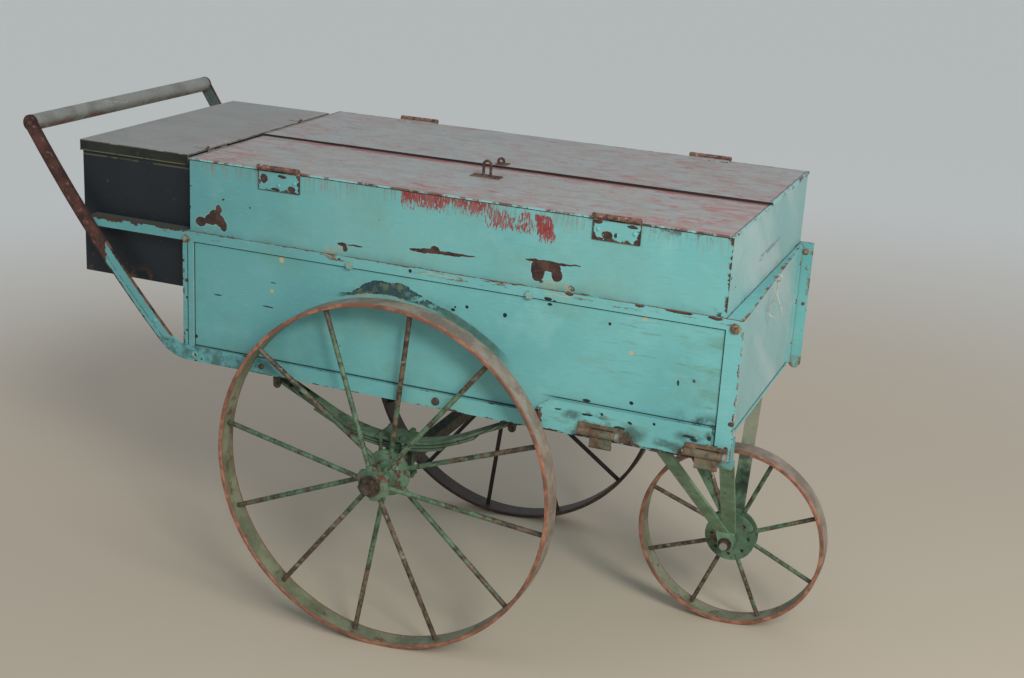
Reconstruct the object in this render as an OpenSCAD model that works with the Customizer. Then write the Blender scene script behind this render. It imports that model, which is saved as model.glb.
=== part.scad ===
// Hand-pushed three-wheeled tool cart with a sheet steel box, twin lids and a rear locker.
// Lengths in millimetres, +X forward to the small wheel, +Y to the left, +Z up.
// Origin: on the floor, under the middle of the cart's length and width, which is close to
// the rear axle. Lengths in the comments run from the rear axle.

/* [Part] */

/* [Stance] */
// Angle by which the box and frame slope down towards the front wheel
nose_down = 3.4; // [0:0.1:8]
// Distance from the rear axle to the front axle along the floor
wheelbase = 617; // [400:1:900]

/* [Wheels] */
// Radius of each rear wheel over the tyre
rear_radius = 356; // [250:1:450]
// Width of each rear wheel rim
rear_rim_width = 46; // [25:1:80]
// Distance between the middle planes of the rear wheels
rear_track = 706; // [600:1:900]
// Thickness of every rim band
rim_thickness = 8; // [4:0.5:16]
// Diameter of the rear wheel spokes
rear_spoke_d = 10; // [6:0.5:16]
// Number of spokes in each rear wheel
rear_spoke_count = 12; // [8:2:16]
// Radius of the front wheel over the tyre
front_radius = 192; // [120:1:260]
// Width of the front wheel rim
front_rim_width = 44; // [25:1:80]
// Diameter of the front wheel spokes
front_spoke_d = 9; // [6:0.5:14]
// Number of spokes in the front wheel
front_spoke_count = 8; // [6:2:12]

/* [Box] */
// Distance from the rear axle forward to the front of the lower box
box_front = 643; // [500:1:800]
// Distance from the rear axle back to the rear of the lower box
box_rear = 466; // [350:1:600]
// Half of the width over the box sides
box_half_width = 317; // [250:1:330]
// Height of the underside of the box
box_bottom = 512; // [450:1:600]
// Height of the ledge on which the upper box stands
ledge_top = 778; // [650:1:850]
// Height of the rim of the upper box
box_rim = 922; // [800:1:1100]
// Thickness of the box sheet
sheet = 2; // [1:0.5:4]
// Leg width of the frame angles
angle_leg = 31; // [20:1:50]
// Height of the upright leg of the ledge rails
rail_leg = 19.5; // [15:0.5:40]
// Leg thickness of the frame angles
angle_t = 4; // [3:0.5:6]
// Thickness of each lid plate
lid_t = 3; // [2:0.5:5]
// Distance of the gap between the lids from the middle of the box
lid_gap_y = -28.5; // [-80:0.5:80]

/* [Locker] */
// Distance from the rear axle back to the rear wall of the locker
locker_rear = 725; // [600:1:800]
// Half of the width of the locker
locker_half_width = 290; // [200:1:292]
// Height of the underside of the locker
locker_bottom = 651; // [560:1:750]
// Depth of the turned-down lip of the locker lid
lip_depth = 22; // [10:1:40]

/* [Handle] */
// Width of the handle arm bars
arm_width = 30; // [20:1:45]
// Thickness of the handle arm bars
arm_t = 5; // [4:0.5:8]
// Inside radius of the bend from the bottom rail into the arm
arm_bend_radius = 75; // [50:1:120]
// Slope of the arm just after the bend
arm_slope = 46.5; // [35:0.5:60]
// Slope of the arm at the grip
arm_end_slope = 57.4; // [40:0.1:70]
// Radius of the long upper curve of the arm
arm_curve_radius = 2700; // [1000:50:5000]
// Diameter of the grip bar
grip_d = 34; // [25:1:45]

/* [Springs] */
// Radius of the inside of the top leaf
leaf_radius = 344; // [250:1:500]
// Thickness of each leaf
leaf_t = 6; // [4:0.5:10]
// Width of the leaves
leaf_width = 36; // [25:1:50]
// Height of the top leaf over the axle
leaf_top_z = 417; // [400:1:440]

/* [Hidden] */
$fn = 96;
paint = [0.37, 0.63, 0.61];
lid_paint = [0.52, 0.54, 0.54];
locker_paint = [0.11, 0.13, 0.16];
green = [0.33, 0.45, 0.36];
rust = [0.36, 0.21, 0.16];
bare = [0.62, 0.63, 0.62];
tyre = [0.50, 0.42, 0.37];

rail_y = box_half_width + angle_t;
arm_y = rail_y + arm_t;
upper_front = box_front - 3;
upper_rear = box_rear - 10.5;
upper_y = box_half_width - 2;
floor_z = box_bottom + angle_t;
ledge_under = ledge_top - angle_t;
rail_front = box_front + 30;
rail_rear = 694;
lid_gap = 3;
lid_lift = 0.3;
near_lid_z = box_rim + lid_lift;
far_lid_z = near_lid_z + 3.7;
barrel_y = upper_y + 5.5;
barrel_r = 5;
pin_r = 2.5;
knuckle_bore = pin_r + 0.05;
near_barrel_z = near_lid_z + lid_t + 3.7;
far_barrel_z = far_lid_z + lid_t + 3.7;
hinge_x = [-255, 428];
hinge_half = 45;
knuckle_half = 15;
rail_mid_z = box_bottom + 12.5;
bend_x = -455.5;
bend_end_x = bend_x - arm_bend_radius * sin(arm_slope);
bend_end_z = rail_mid_z + arm_bend_radius * (1 - cos(arm_slope));
grip_x = bend_end_x - arm_curve_radius * (sin(arm_end_slope) - sin(arm_slope));
grip_z = bend_end_z + arm_curve_radius * (cos(arm_slope) - cos(arm_end_slope));
grip_r = grip_d / 2;
grip_world_x = grip_x * cos(nose_down) + (grip_z - rear_radius) * sin(nose_down);
mid_x = (wheelbase + front_radius + grip_world_x - grip_r) / 2;
spring_y = 288;
axle_r = 12;
axle_square = 25;
journal_start = 319.6;
hub_inner_y = 320;
hub_outer_y = 402;
leaf_half_angle = 25.5;
leaf_tilt = 1;
leaf_count = 3;
rear_eye = [-259, 488];
front_eye = [249, 492.3];
hanger_top = box_bottom - 0.1;
front_axle_r = 8;
front_axle_dx = wheelbase * cos(nose_down) - (front_radius - rear_radius) * sin(nose_down);
front_axle_dz = wheelbase * sin(nose_down) + (front_radius - rear_radius) * cos(nose_down);
fork_x = front_axle_dx;
fork_z = rear_radius + front_axle_dz;
fork_top_z = box_bottom - 0.5;
locker_front = 472;
locker_rim = box_rim + 1;
back_lid_top = locker_rim + 0.3 + 2.7;
back_barrel_x = -469;
back_barrel_z = back_lid_top + 3.5;
back_barrel_r = 4.5;
bracket_pin_y = -336.5;
bracket_pin_z = 525;
bracket_pin_r = 3.5;
clip_x = 655;
clip_y = 10;

// ---------------------------------------------------------------- helpers

// Tilts everything that belongs to the box and frame about the rear axle
module body_frame() {
    translate([-mid_x, 0, rear_radius])
        rotate([0, nose_down, 0])
            translate([0, 0, -rear_radius])
                children();
}

// Block between two opposite corners
module block(low, high) {
    translate(low)
        cube(high - low);
}

// Cylinder lying along X from x0 to x1
module bar_x(x0, x1, y, z, r) {
    translate([x0, y, z])
        rotate([0, 90, 0])
            cylinder(h = x1 - x0, r = r);
}

// Cylinder lying along Y from y0 to y1
module bar_y(y0, y1, x, z, r) {
    translate([x, y0, z])
        rotate([-90, 0, 0])
            cylinder(h = y1 - y0, r = r);
}

// Upright cylinder from z0 to z1
module bar_z(z0, z1, x, y, r) {
    translate([x, y, z0])
        cylinder(h = z1 - z0, r = r);
}

// Flat outline drawn in X and Z, made thick along Y from y0 to y1
module upright_plate(y0, y1) {
    translate([0, y1, 0])
        rotate([90, 0, 0])
            linear_extrude(height = y1 - y0)
                children();
}

// Open frame of four walls
module wall_ring(x0, x1, half_y, z0, z1, t) {
    difference() {
        block([x0, -half_y, z0], [x1, half_y, z1]);
        block([x0 + t, -half_y + t, z0 - 1], [x1 - t, half_y - t, z1 + 1]);
    }
}

// Hexagon bolt head with a washer, standing out along -Y (side -1) or +Y (side 1)
module side_bolt(x, z, face_y, side, r) {
    translate([x, side * face_y, z])
        rotate([side > 0 ? -90 : 90, 0, 0]) {
            cylinder(h = 1.2, r = r * 1.25);
            translate([0, 0, 1.2])
                cylinder(h = r * 0.5, r = r, $fn = 6);
        }
}

// Low domed rivet head turned from a flat disc and a smaller top
module side_rivet(x, z, face_y, side, r) {
    translate([x, side * face_y, z])
        rotate([side > 0 ? -90 : 90, 0, 0])
            rotate_extrude()
                polygon([[0, 0], [r, 0], [r * 0.92, r * 0.28], [r * 0.6, r * 0.5], [0, r * 0.58]]);
}

// Straight round spoke between two points
module rod(p, q, r) {
    d = q - p;
    len = norm(d);
    lift = acos(d[2] / len);
    turn = atan2(d[1], d[0]);
    translate(p)
        rotate([0, lift, turn])
            cylinder(h = len, r = r, $fn = 24);
}

// ---------------------------------------------------------------- box

module upper_box() color(paint) body_frame()
    wall_ring(-upper_rear, upper_front, upper_y, ledge_top, box_rim, sheet);

module lower_box() color(paint) body_frame()
    wall_ring(-box_rear, box_front, box_half_width, floor_z, ledge_under, sheet);

module floor_sheet() color(paint) body_frame()
    block([-box_rear + sheet, -box_half_width + sheet, floor_z],
          [box_front - sheet, box_half_width - sheet, floor_z + 2.5]);

module mid_rail(side, front) {
    y_out = side * rail_y;
    y_leg = side * (rail_y - angle_t);
    y_in = side * (rail_y - angle_leg);
    block([-rail_rear, min(y_out, y_leg), ledge_top - rail_leg],
          [front, max(y_out, y_leg), ledge_top]);
    block([-rail_rear, min(y_out, y_in), ledge_under],
          [front, max(y_out, y_in), ledge_top]);
}

module mid_rail_near() color(paint) body_frame()
    mid_rail(-1, rail_front);

module mid_rail_far() color(paint) body_frame()
    mid_rail(1, box_front);

// Front ledge, wide at the near corner and narrowing to the far corner
module mid_rail_front() color(paint) body_frame() {
    inner_y = rail_y - angle_leg;
    difference() {
        translate([0, 0, ledge_under])
            linear_extrude(height = angle_t)
                polygon([[box_front - angle_leg, -inner_y], [rail_front, -inner_y],
                         [box_front + 6, inner_y], [box_front - angle_leg, inner_y]]);
        bar_z(ledge_under - 1, ledge_top + 1, clip_x, clip_y, 2.5);
    }
    block([box_front - sheet - angle_t, -inner_y, ledge_top - angle_leg],
          [box_front - sheet, inner_y, ledge_under + 0.5]);
}

module mid_rail_rear() color(paint) body_frame() {
    inner_y = rail_y - angle_leg;
    block([-box_rear, -inner_y, ledge_under], [-box_rear + angle_leg, inner_y, ledge_top]);
    block([-box_rear + sheet, -inner_y, ledge_top - angle_leg],
          [-box_rear + sheet + angle_t, inner_y, ledge_under + 0.5]);
}

// Front corner post: one leg stands forward of the front sheet, one lies on it
module corner_angle_front_near() color(paint) body_frame() {
    block([box_front, -rail_y, box_bottom + 1.5],
          [box_front + 32, -rail_y + angle_t, ledge_top - rail_leg]);
    block([box_front, -rail_y, box_bottom + 1.5],
          [box_front + angle_t, -rail_y + angle_leg - 3, ledge_top - rail_leg]);
}

module corner_angle_front_far() color(paint) body_frame() {
    block([box_front, box_half_width, box_bottom], [box_front + 26, rail_y, ledge_top]);
    bar_y(box_half_width, rail_y, box_front + 13, box_bottom, 13);
    block([box_front, rail_y - angle_leg + 3, box_bottom + 1.5],
          [box_front + angle_t, rail_y, ledge_under]);
}

module corner_angle_rear(side) {
    y_out = side * rail_y;
    y_leg = side * box_half_width;
    y_in = side * (rail_y - angle_leg + 3);
    block([-box_rear - angle_t, min(y_out, y_leg), rail_mid_z + 15],
          [-box_rear + 20, max(y_out, y_leg), ledge_top - rail_leg]);
    block([-box_rear - angle_t, min(y_out, y_in), rail_mid_z + 15],
          [-box_rear, max(y_out, y_in), ledge_top - rail_leg]);
}

module corner_angle_rear_near() color(paint) body_frame()
    corner_angle_rear(-1);

module corner_angle_rear_far() color(paint) body_frame()
    corner_angle_rear(1);

// Thin repair plate over the front part of the near bottom rail
module skirt_plate() color(paint) body_frame()
    difference() {
        upright_plate(-arm_y - 1.5, -arm_y)
            polygon([[306, box_bottom + 1], [box_front - 17, box_bottom + 1],
                     [box_front - 6, box_bottom + 14], [box_front - 6, box_bottom + 61],
                     [330, box_bottom + 60], [306, box_bottom + 44]]);
        for (x = [430, 530])
            bar_y(-arm_y - 3, -arm_y + 1, x, box_bottom + 49, 3);
    }

// Flat bar across the front edge of the floor
module front_sill() color(paint) body_frame()
    block([box_front - 22, -288, box_bottom], [box_front + 3, 288, floor_z]);

// ---------------------------------------------------------------- handle

function arm_bend(a, w) = [bend_x - (arm_bend_radius + w) * sin(a),
    rail_mid_z + arm_bend_radius - (arm_bend_radius + w) * cos(a)];

function arm_curve(a, w) = [bend_end_x + arm_curve_radius * sin(arm_slope)
        - (arm_curve_radius + w) * sin(a),
    bend_end_z + arm_curve_radius * cos(arm_slope) - (arm_curve_radius + w) * cos(a)];

module arm_outline(front) {
    h = arm_width / 2;
    bend = [for (i = [0 : 14]) i * arm_slope / 14];
    curve = [for (i = [1 : 10]) arm_slope + i * (arm_end_slope - arm_slope) / 10];
    polygon(concat(
        [[front, rail_mid_z - h]],
        [for (a = bend) arm_bend(a, h)],
        [for (a = curve) arm_curve(a, h)],
        [for (i = [len(curve) - 1 : -1 : 0]) arm_curve(curve[i], -h)],
        [for (i = [len(bend) - 1 : -1 : 0]) arm_bend(bend[i], -h)],
        [[front, rail_mid_z + h]]));
}

// Handle arm and bottom rail in one bent bar, with a ledge that carries the floor
module handle_arm(side, front) {
    y0 = side > 0 ? rail_y : -arm_y;
    ledge_in = side * (rail_y - angle_leg);
    ledge_out = side * rail_y;
    upright_plate(y0, y0 + arm_t)
        union() {
            arm_outline(front);
            translate([grip_x, grip_z])
                circle(r = grip_r);
        }
    block([-box_rear + 30, min(ledge_in, ledge_out), box_bottom],
          [box_front - 8, max(ledge_in, ledge_out), box_bottom + angle_t]);
}

module handle_arm_near() color(paint) body_frame()
    handle_arm(-1, box_front + 6);

module handle_arm_far() color(paint) body_frame()
    handle_arm(1, box_front - 4);

module grip_bar() color(bare) body_frame()
    difference() {
        bar_y(-rail_y, rail_y, grip_x, grip_z, grip_r - 0.5);
        bar_y(-rail_y - 1, rail_y + 1, grip_x, grip_z, grip_r - 4);
    }

// ---------------------------------------------------------------- lids and hinges

// Plain knuckle tube along X
module knuckle(x0, x1, y, z, r, bore) {
    difference() {
        bar_x(x0, x1, y, z, r);
        bar_x(x0 - 1, x1 + 1, y, z, bore);
    }
}

module fixed_leaf(x, side, barrel_z) {
    y_in = side * upper_y;
    y_out = side * (upper_y + 2.5);
    difference() {
        union() {
            block([x - hinge_half, min(y_in, y_out), box_rim - 38],
                  [x + hinge_half, max(y_in, y_out), box_rim - 1]);
            for (s = [-1, 1]) {
                low = min(x + s * hinge_half, x + s * (knuckle_half + 0.4));
                high = max(x + s * hinge_half, x + s * (knuckle_half + 0.4));
                block([low, min(y_in, y_out), box_rim - 1.5],
                      [high, max(y_in, y_out), barrel_z]);
                bar_x(low, high, side * barrel_y, barrel_z, barrel_r);
            }
        }
        bar_x(x - hinge_half - 1, x + hinge_half + 1, side * barrel_y, barrel_z, knuckle_bore);
    }
}

module lid_hinge_leaves() color(rust) body_frame()
    for (x = hinge_x) {
        fixed_leaf(x, -1, near_barrel_z);
        fixed_leaf(x, 1, far_barrel_z);
    }

module lid_hinge_pins() color(bare) body_frame()
    for (x = hinge_x) {
        bar_x(x - hinge_half - 1.5, x + hinge_half + 1.5, -barrel_y, near_barrel_z, pin_r);
        bar_x(x - hinge_half - 1.5, x + hinge_half + 1.5, barrel_y, far_barrel_z, pin_r);
    }

// Knuckle with a flat leaf that lies on the lid
module lid_knuckles(side, barrel_z, lid_top) {
    for (x = hinge_x)
        difference() {
            union() {
                bar_x(x - knuckle_half, x + knuckle_half, side * barrel_y, barrel_z, barrel_r);
                block([x - knuckle_half, min(side * barrel_y, side * (upper_y - 2)), lid_top],
                      [x + knuckle_half, max(side * barrel_y, side * (upper_y - 2)), lid_top + 2]);
                block([x - hinge_half, min(side * (upper_y - 22), side * (upper_y - 2)), lid_top],
                      [x + hinge_half, max(side * (upper_y - 22), side * (upper_y - 2)), lid_top + 2]);
            }
            bar_x(x - hinge_half, x + hinge_half, side * barrel_y, barrel_z, knuckle_bore);
        }
}

module lid_near_knuckles() color(lid_paint) body_frame()
    lid_knuckles(-1, near_barrel_z, near_lid_z + lid_t);

module lid_far_knuckles() color(lid_paint) body_frame()
    lid_knuckles(1, far_barrel_z, far_lid_z + lid_t);

// Cut-outs in a lid edge around the standing parts of the fixed leaves
module leaf_notches(side, z) {
    for (x = hinge_x)
        block([x - hinge_half - 1.5, min(side * (upper_y - 1), side * (upper_y + 9)), z - 6],
              [x + hinge_half + 1.5, max(side * (upper_y - 1), side * (upper_y + 9)), z + 6]);
}

module lid_near() color(lid_paint) body_frame()
    difference() {
        block([-upper_rear - 2.5, -upper_y - 2, near_lid_z],
              [upper_front + 2, lid_gap_y - lid_gap / 2, near_lid_z + lid_t]);
        leaf_notches(-1, near_lid_z);
    }

module lid_near_straps() color(rust) body_frame()
    for (x = [-330, 92, 520])
        block([x - 12, -upper_y + 8, near_lid_z - 4], [x + 12, lid_gap_y - 12, near_lid_z]);

// The far lid is a shallow tray turned down at its edges
module lid_far() color(lid_paint) body_frame()
    difference() {
        block([-upper_rear - 2.5, lid_gap_y + lid_gap / 2, near_lid_z],
              [upper_front + 2, upper_y + 2, far_lid_z + lid_t]);
        block([-upper_rear + 1.5, lid_gap_y + lid_gap / 2 + 3, near_lid_z - 1],
              [upper_front - 2, upper_y - 2, far_lid_z]);
        leaf_notches(1, near_lid_z + 3);
    }

module lid_far_straps() color(rust) body_frame()
    for (x = [-330, 92, 520])
        block([x - 12, lid_gap_y + 14, far_lid_z - 3], [x + 12, upper_y - 8, far_lid_z]);

// Padlock staple: base plate and a U of round bar
module staple() color(rust) body_frame() {
    z = near_lid_z + lid_t;
    block([66, -136, z], [126, -112, z + 2]);
    for (x = [89.5, 104.5])
        bar_z(z + 1, z + 24, x, -124, 2.8);
    translate([97, -124, z + 24])
        rotate([90, 0, 0])
            intersection() {
                rotate_extrude()
                    translate([7.5, 0])
                        circle(r = 2.8, $fn = 24);
                translate([-15, 0, -5])
                    cube([30, 15, 10]);
            }
    for (x = [74, 118])
        bar_z(z + 1, z + 3.4, x, -124, 4);
}

// Standing tab with a hole for the padlock on the edge of the far lid
module lock_eye() color(rust) body_frame() {
    z = far_lid_z + lid_t;
    difference() {
        union() {
            block([76, -22, z], [92, -18, z + 9]);
            bar_y(-22, -18, 84, z + 8, 8);
        }
        bar_y(-23, -17, 84, z + 8, 3.5);
        block([60, -30, z - 10], [110, 10, z]);
    }
    block([72, -22, z], [96, 2, z + 1.6]);
}

// ---------------------------------------------------------------- rear locker

module back_box() color(locker_paint) body_frame()
    difference() {
        block([-locker_rear, -locker_half_width, locker_bottom],
              [-locker_front, locker_half_width, locker_rim]);
        block([-locker_rear + sheet, -locker_half_width + sheet, locker_bottom + sheet],
              [-locker_front - sheet, locker_half_width - sheet, locker_rim + 1]);
    }

module back_lid() color(lid_paint) body_frame() {
    low = locker_rim + 0.3;
    difference() {
        block([-locker_rear - 4, -locker_half_width - 4, back_lid_top - lip_depth],
              [-locker_front - 1.5, locker_half_width + 4, back_lid_top]);
        block([-locker_rear - 2, -locker_half_width - 2, back_lid_top - lip_depth - 1],
              [-locker_front + 1, locker_half_width + 2, low]);
    }
    for (s = [-1, 1])
        bar_x(-locker_rear - 4, -locker_front - 1.5, s * (locker_half_width + 3.6),
              back_lid_top - lip_depth + 1.4, 1.4);
    bar_y(-locker_half_width - 3.6, locker_half_width + 3.6, -locker_rear - 3.6,
          back_lid_top - lip_depth + 1.4, 1.4);
}

module back_hinge_leaves() color(rust) body_frame()
    for (y = [-190, 190])
        difference() {
            union() {
                block([-locker_front, y - 36, locker_rim - 34], [-locker_front + 2, y + 36, locker_rim - 1]);
                for (s = [-1, 1]) {
                    low = min(y + s * 36, y + s * 12.4);
                    high = max(y + s * 36, y + s * 12.4);
                    block([-locker_front, low, locker_rim - 2], [-locker_front + 2, high, back_barrel_z]);
                    bar_y(low, high, back_barrel_x, back_barrel_z, back_barrel_r);
                }
            }
            bar_y(y - 40, y + 40, back_barrel_x, back_barrel_z, 2.05);
        }

module back_hinge_pins() color(bare) body_frame()
    for (y = [-190, 190])
        bar_y(y - 37.5, y + 37.5, back_barrel_x, back_barrel_z, 2);

module back_lid_knuckles() color(lid_paint) body_frame()
    for (y = [-190, 190])
        difference() {
            union() {
                bar_y(y - 12, y + 12, back_barrel_x, back_barrel_z, back_barrel_r);
                block([-locker_front - 6, y - 12, back_lid_top], [back_barrel_x, y + 12, back_lid_top + 2]);
                block([-locker_front - 28, y - 36, back_lid_top],
                      [-locker_front - 5, y + 36, back_lid_top + 2]);
            }
            bar_y(y - 40, y + 40, back_barrel_x, back_barrel_z, 2.05);
        }

// ---------------------------------------------------------------- fasteners

module rail_bolts() color(rust) body_frame() {
    for (s = [-1, 1]) {
        for (x = [-461, -97, 272])
            side_bolt(x, ledge_top - 15, rail_y, s, 7);
    }
    side_bolt(box_front + 17, ledge_top - 15, rail_y, -1, 8);
    side_bolt(box_front - 40, ledge_top - 15, rail_y, 1, 7);
}

module arm_rivets() color(rust) body_frame()
    for (s = [-1, 1]) {
        side_rivet(-698, ledge_top - 16, arm_y, s, 7);
        side_rivet(grip_x, grip_z, arm_y, s, 7);
        side_rivet(-535, 580, arm_y, s, 5);
    }

module bottom_bolts() color(rust) body_frame() {
    for (s = [-1, 1]) {
        side_bolt(-440, box_bottom + 11, arm_y, s, 6);
        side_rivet(-286, box_bottom + 13, arm_y, s, 6);
        side_rivet(96, box_bottom + 11, arm_y, s, 8);
    }
    side_rivet(250, box_bottom + 12, arm_y, 1, 6);
    side_rivet(540, box_bottom + 12, arm_y, 1, 6);
}

module hinge_screws() color(rust) body_frame()
    for (s = [-1, 1]) {
        for (x = hinge_x) {
            for (dx = [-34, 0, 34])
                side_rivet(x + dx, box_rim - 18 - (dx == 0 ? 8 : 0), upper_y + 2.5, s, 4);
        }
    }

// Fasteners on the far front corner post and the rivets that hold the posts to the front sheet
module corner_rivets() color(rust) body_frame() {
    side_bolt(box_front + 11.2, ledge_top - 20, -box_half_width, -1, 5.5);
    for (z = [ledge_top - 55, ledge_top - 134])
        side_rivet(box_front + 18, z, -box_half_width, -1, 4);
    for (s = [-1, 1]) {
        for (z = [560, 650, 735])
            translate([box_front + angle_t, s * (rail_y - 18), z])
                rotate([0, 90, 0])
                    rotate_extrude()
                        polygon([[0, 0], [5, 0], [4.6, 1.4], [3, 2.4], [0, 2.8]]);
    }
}

// ---------------------------------------------------------------- brackets under the near rail

// Flat from x0 to x_flat with a rolled barrel from x0 to x1, open for the leaf from k0 to k1
module bracket_plate(x0, x1, x_flat, k0, k1) {
    difference() {
        union() {
            block([x0, -arm_y - 5.5, bracket_pin_z], [x_flat, -arm_y - 1.5, bracket_pin_z + 15]);
            bar_x(x0, k0 - 0.4, bracket_pin_y, bracket_pin_z, 7);
            bar_x(k1 + 0.4, x1, bracket_pin_y, bracket_pin_z, 7);
            block([x0, bracket_pin_y, bracket_pin_z], [k0 - 0.4, -arm_y - 1.5, bracket_pin_z + 7]);
            block([k1 + 0.4, bracket_pin_y, bracket_pin_z], [x1, -arm_y - 1.5, bracket_pin_z + 7]);
        }
        bar_x(x0 - 1, x_flat + 1, bracket_pin_y, bracket_pin_z, bracket_pin_r + 0.05);
        bar_x(x1, x1 + 6.3, bracket_pin_y, bracket_pin_z, 8.3);
        block([k0 - 0.4, bracket_pin_y - 8.4, bracket_pin_z - 8.4],
              [k1 + 0.4, bracket_pin_y + 8.4, bracket_pin_z + 8.4]);
    }
}

module bracket_plates() color(rust) body_frame() {
    bracket_plate(388, 462, 473, 413, 455);
    bracket_plate(592, 664, 670, 613, 655);
}

module bracket_pins() color(bare) body_frame()
    for (x = [[388, 462], [592, 664]]) {
        bar_x(x[0] - 4, x[1] + 4, bracket_pin_y, bracket_pin_z, bracket_pin_r);
        bar_x(x[1] + 0.2, x[1] + 6, bracket_pin_y, bracket_pin_z, 8);
    }

// Loose leaf: a rolled eye with a short tail that ends in a rolled edge
module bracket_leaf(k0, k1) {
    difference() {
        union() {
            bar_x(k0, k1, bracket_pin_y, bracket_pin_z, 7.5);
            block([k0, bracket_pin_y - 2, bracket_pin_z - 24],
                  [k1, bracket_pin_y + 2, bracket_pin_z]);
            bar_x(k0, k1, bracket_pin_y, bracket_pin_z - 24, 4.5);
        }
        bar_x(k0 - 1, k1 + 1, bracket_pin_y, bracket_pin_z, bracket_pin_r + 0.08);
    }
}

module bracket_leaf_rear() color(rust) body_frame()
    bracket_leaf(413, 455);

module bracket_leaf_front() color(rust) body_frame()
    bracket_leaf(613, 655);

// ---------------------------------------------------------------- front fork and wheel

// Slanting bar from the frame to a knee beside the wheel, then straight down to the axle
module fork_bar(x_top, side, y_axle, z_top) {
    knee_z = fork_z + 26;
    knee_x = fork_x + (x_top - fork_x) * (knee_z - fork_z) / (z_top - fork_z);
    slant = atan2(301 - y_axle, z_top - knee_z);
    len = norm([301 - y_axle, z_top - knee_z]);
    translate([0, side * y_axle, knee_z])
        rotate([90 - side * slant, 0, 0])
            linear_extrude(height = 6, center = true)
                polygon([[knee_x - 14, -3], [knee_x + 14, -3], [x_top + 14, len], [x_top - 14, len]]);
    difference() {
        upright_plate(side * y_axle - 3, side * y_axle + 3)
            union() {
                polygon([[knee_x - 14, knee_z + 1], [fork_x - 14, fork_z],
                         [fork_x + 14, fork_z], [knee_x + 14, knee_z + 1]]);
                translate([fork_x, fork_z])
                    circle(r = 16);
            }
        bar_y(side * y_axle - 5, side * y_axle + 5, fork_x, fork_z, front_axle_r);
    }
}

// Foot plate that bolts a fork bar to the underside of the frame
module fork_foot(x, side) {
    difference() {
        block([x - 17, min(side * 318, side * 282), fork_top_z - 7],
              [x + 17, max(side * 318, side * 282), fork_top_z]);
        bar_z(fork_top_z - 8, fork_top_z + 1, x, side * 289, 4);
    }
}

module fork_near() color(green) body_frame() {
    fork_bar(539, -1, 53.5, fork_top_z - 3);
    fork_foot(539, -1);
    fork_bar(664, -1, 47.5, fork_top_z - 3);
    block([650, -box_half_width, fork_top_z - 14], [678, -box_half_width + 6, 560]);
    block([650, -box_half_width, fork_top_z - 14], [678, -295, fork_top_z - 3]);
}

module fork_far() color(green) body_frame() {
    fork_bar(300, 1, 53.5, fork_top_z - 3);
    fork_foot(300, 1);
    fork_bar(589, 1, 47.5, fork_top_z - 3);
    fork_foot(589, 1);
}

module front_axle() color(bare) body_frame()
    bar_y(-71, 71, fork_x, fork_z, front_axle_r);

module front_axle_nuts() color(bare) body_frame()
    for (s = [-1, 1])
        difference() {
            translate([fork_x, s * 56.6, fork_z])
                rotate([s > 0 ? -90 : 90, 0, 0]) {
                    cylinder(h = 2.4, r = 14);
                    translate([0, 0, 2.4])
                        cylinder(h = 8, r = 11.5, $fn = 6);
                }
            bar_y(min(s * 50, s * 80), max(s * 50, s * 80), fork_x, fork_z, front_axle_r);
        }

// Rim band with slightly rounded edges
module rim(radius, width, thickness) {
    h = width / 2;
    inner = radius - thickness;
    rotate([90, 0, 0])
        rotate_extrude($fn = 180)
            polygon([[inner + 1, -h], [radius - 1.5, -h], [radius, -h + 1.5], [radius, h - 1.5],
                     [radius - 1.5, h], [inner + 1, h], [inner, h - 1], [inner, -h + 1]]);
}

module front_wheel_place() {
    translate([wheelbase - mid_x, 0, front_radius])
        children();
}

module front_rim() color(tyre) front_wheel_place()
    rim(front_radius, front_rim_width, rim_thickness);

module front_spokes() color(green) front_wheel_place()
    for (i = [0 : front_spoke_count - 1]) {
        a = 19.5 + i * 360 / front_spoke_count;
        y = i % 2 == 0 ? -12 : 12;
        dir = [cos(a), 0, sin(a)];
        rod(dir * 40 + [0, y, 0], dir * (front_radius - rim_thickness + 1), front_spoke_d / 2);
    }

// Hub with two flange discs, slotted between the spokes
module front_hub() color(green) front_wheel_place()
    difference() {
        rotate([90, 0, 0])
            rotate_extrude()
                polygon([[front_axle_r + 0.06, -42], [17, -42], [19, -39], [19, -16], [52, -14.5],
                         [52, -9.5], [22, -8], [22, 8], [52, 9.5], [52, 14.5], [19, 16],
                         [19, 39], [17, 42], [front_axle_r + 0.06, 42]]);
        for (i = [0 : front_spoke_count - 1]) {
            a = 42 + i * 360 / front_spoke_count;
            bar_y(-30, 30, 38 * cos(a), 38 * sin(a), 4);
        }
    }

// ---------------------------------------------------------------- springs and rear wheels

// Line at radius r that curves to half_angle on both sides and runs on straight
function leaf_line(r, half_angle, tail_back, tail_front) = concat(
    [[-r * sin(half_angle) - tail_back * cos(half_angle),
      -r * cos(half_angle) + tail_back * sin(half_angle)]],
    [for (i = [-12 : 12]) [r * sin(i * half_angle / 12), -r * cos(i * half_angle / 12)]],
    [[r * sin(half_angle) + tail_front * cos(half_angle),
      -r * cos(half_angle) + tail_front * sin(half_angle)]]);

// Curved leaf with straight tails
module leaf(index, half_angle, tail_back, tail_front) {
    r0 = leaf_radius + index * (leaf_t + 0.15);
    inner = leaf_line(r0, half_angle, tail_back, tail_front);
    outer = leaf_line(r0 + leaf_t, half_angle, tail_back, tail_front);
    upright_plate(-leaf_width / 2, leaf_width / 2)
        polygon(concat(inner, [for (i = [len(outer) - 1 : -1 : 0]) outer[i]]));
}

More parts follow.
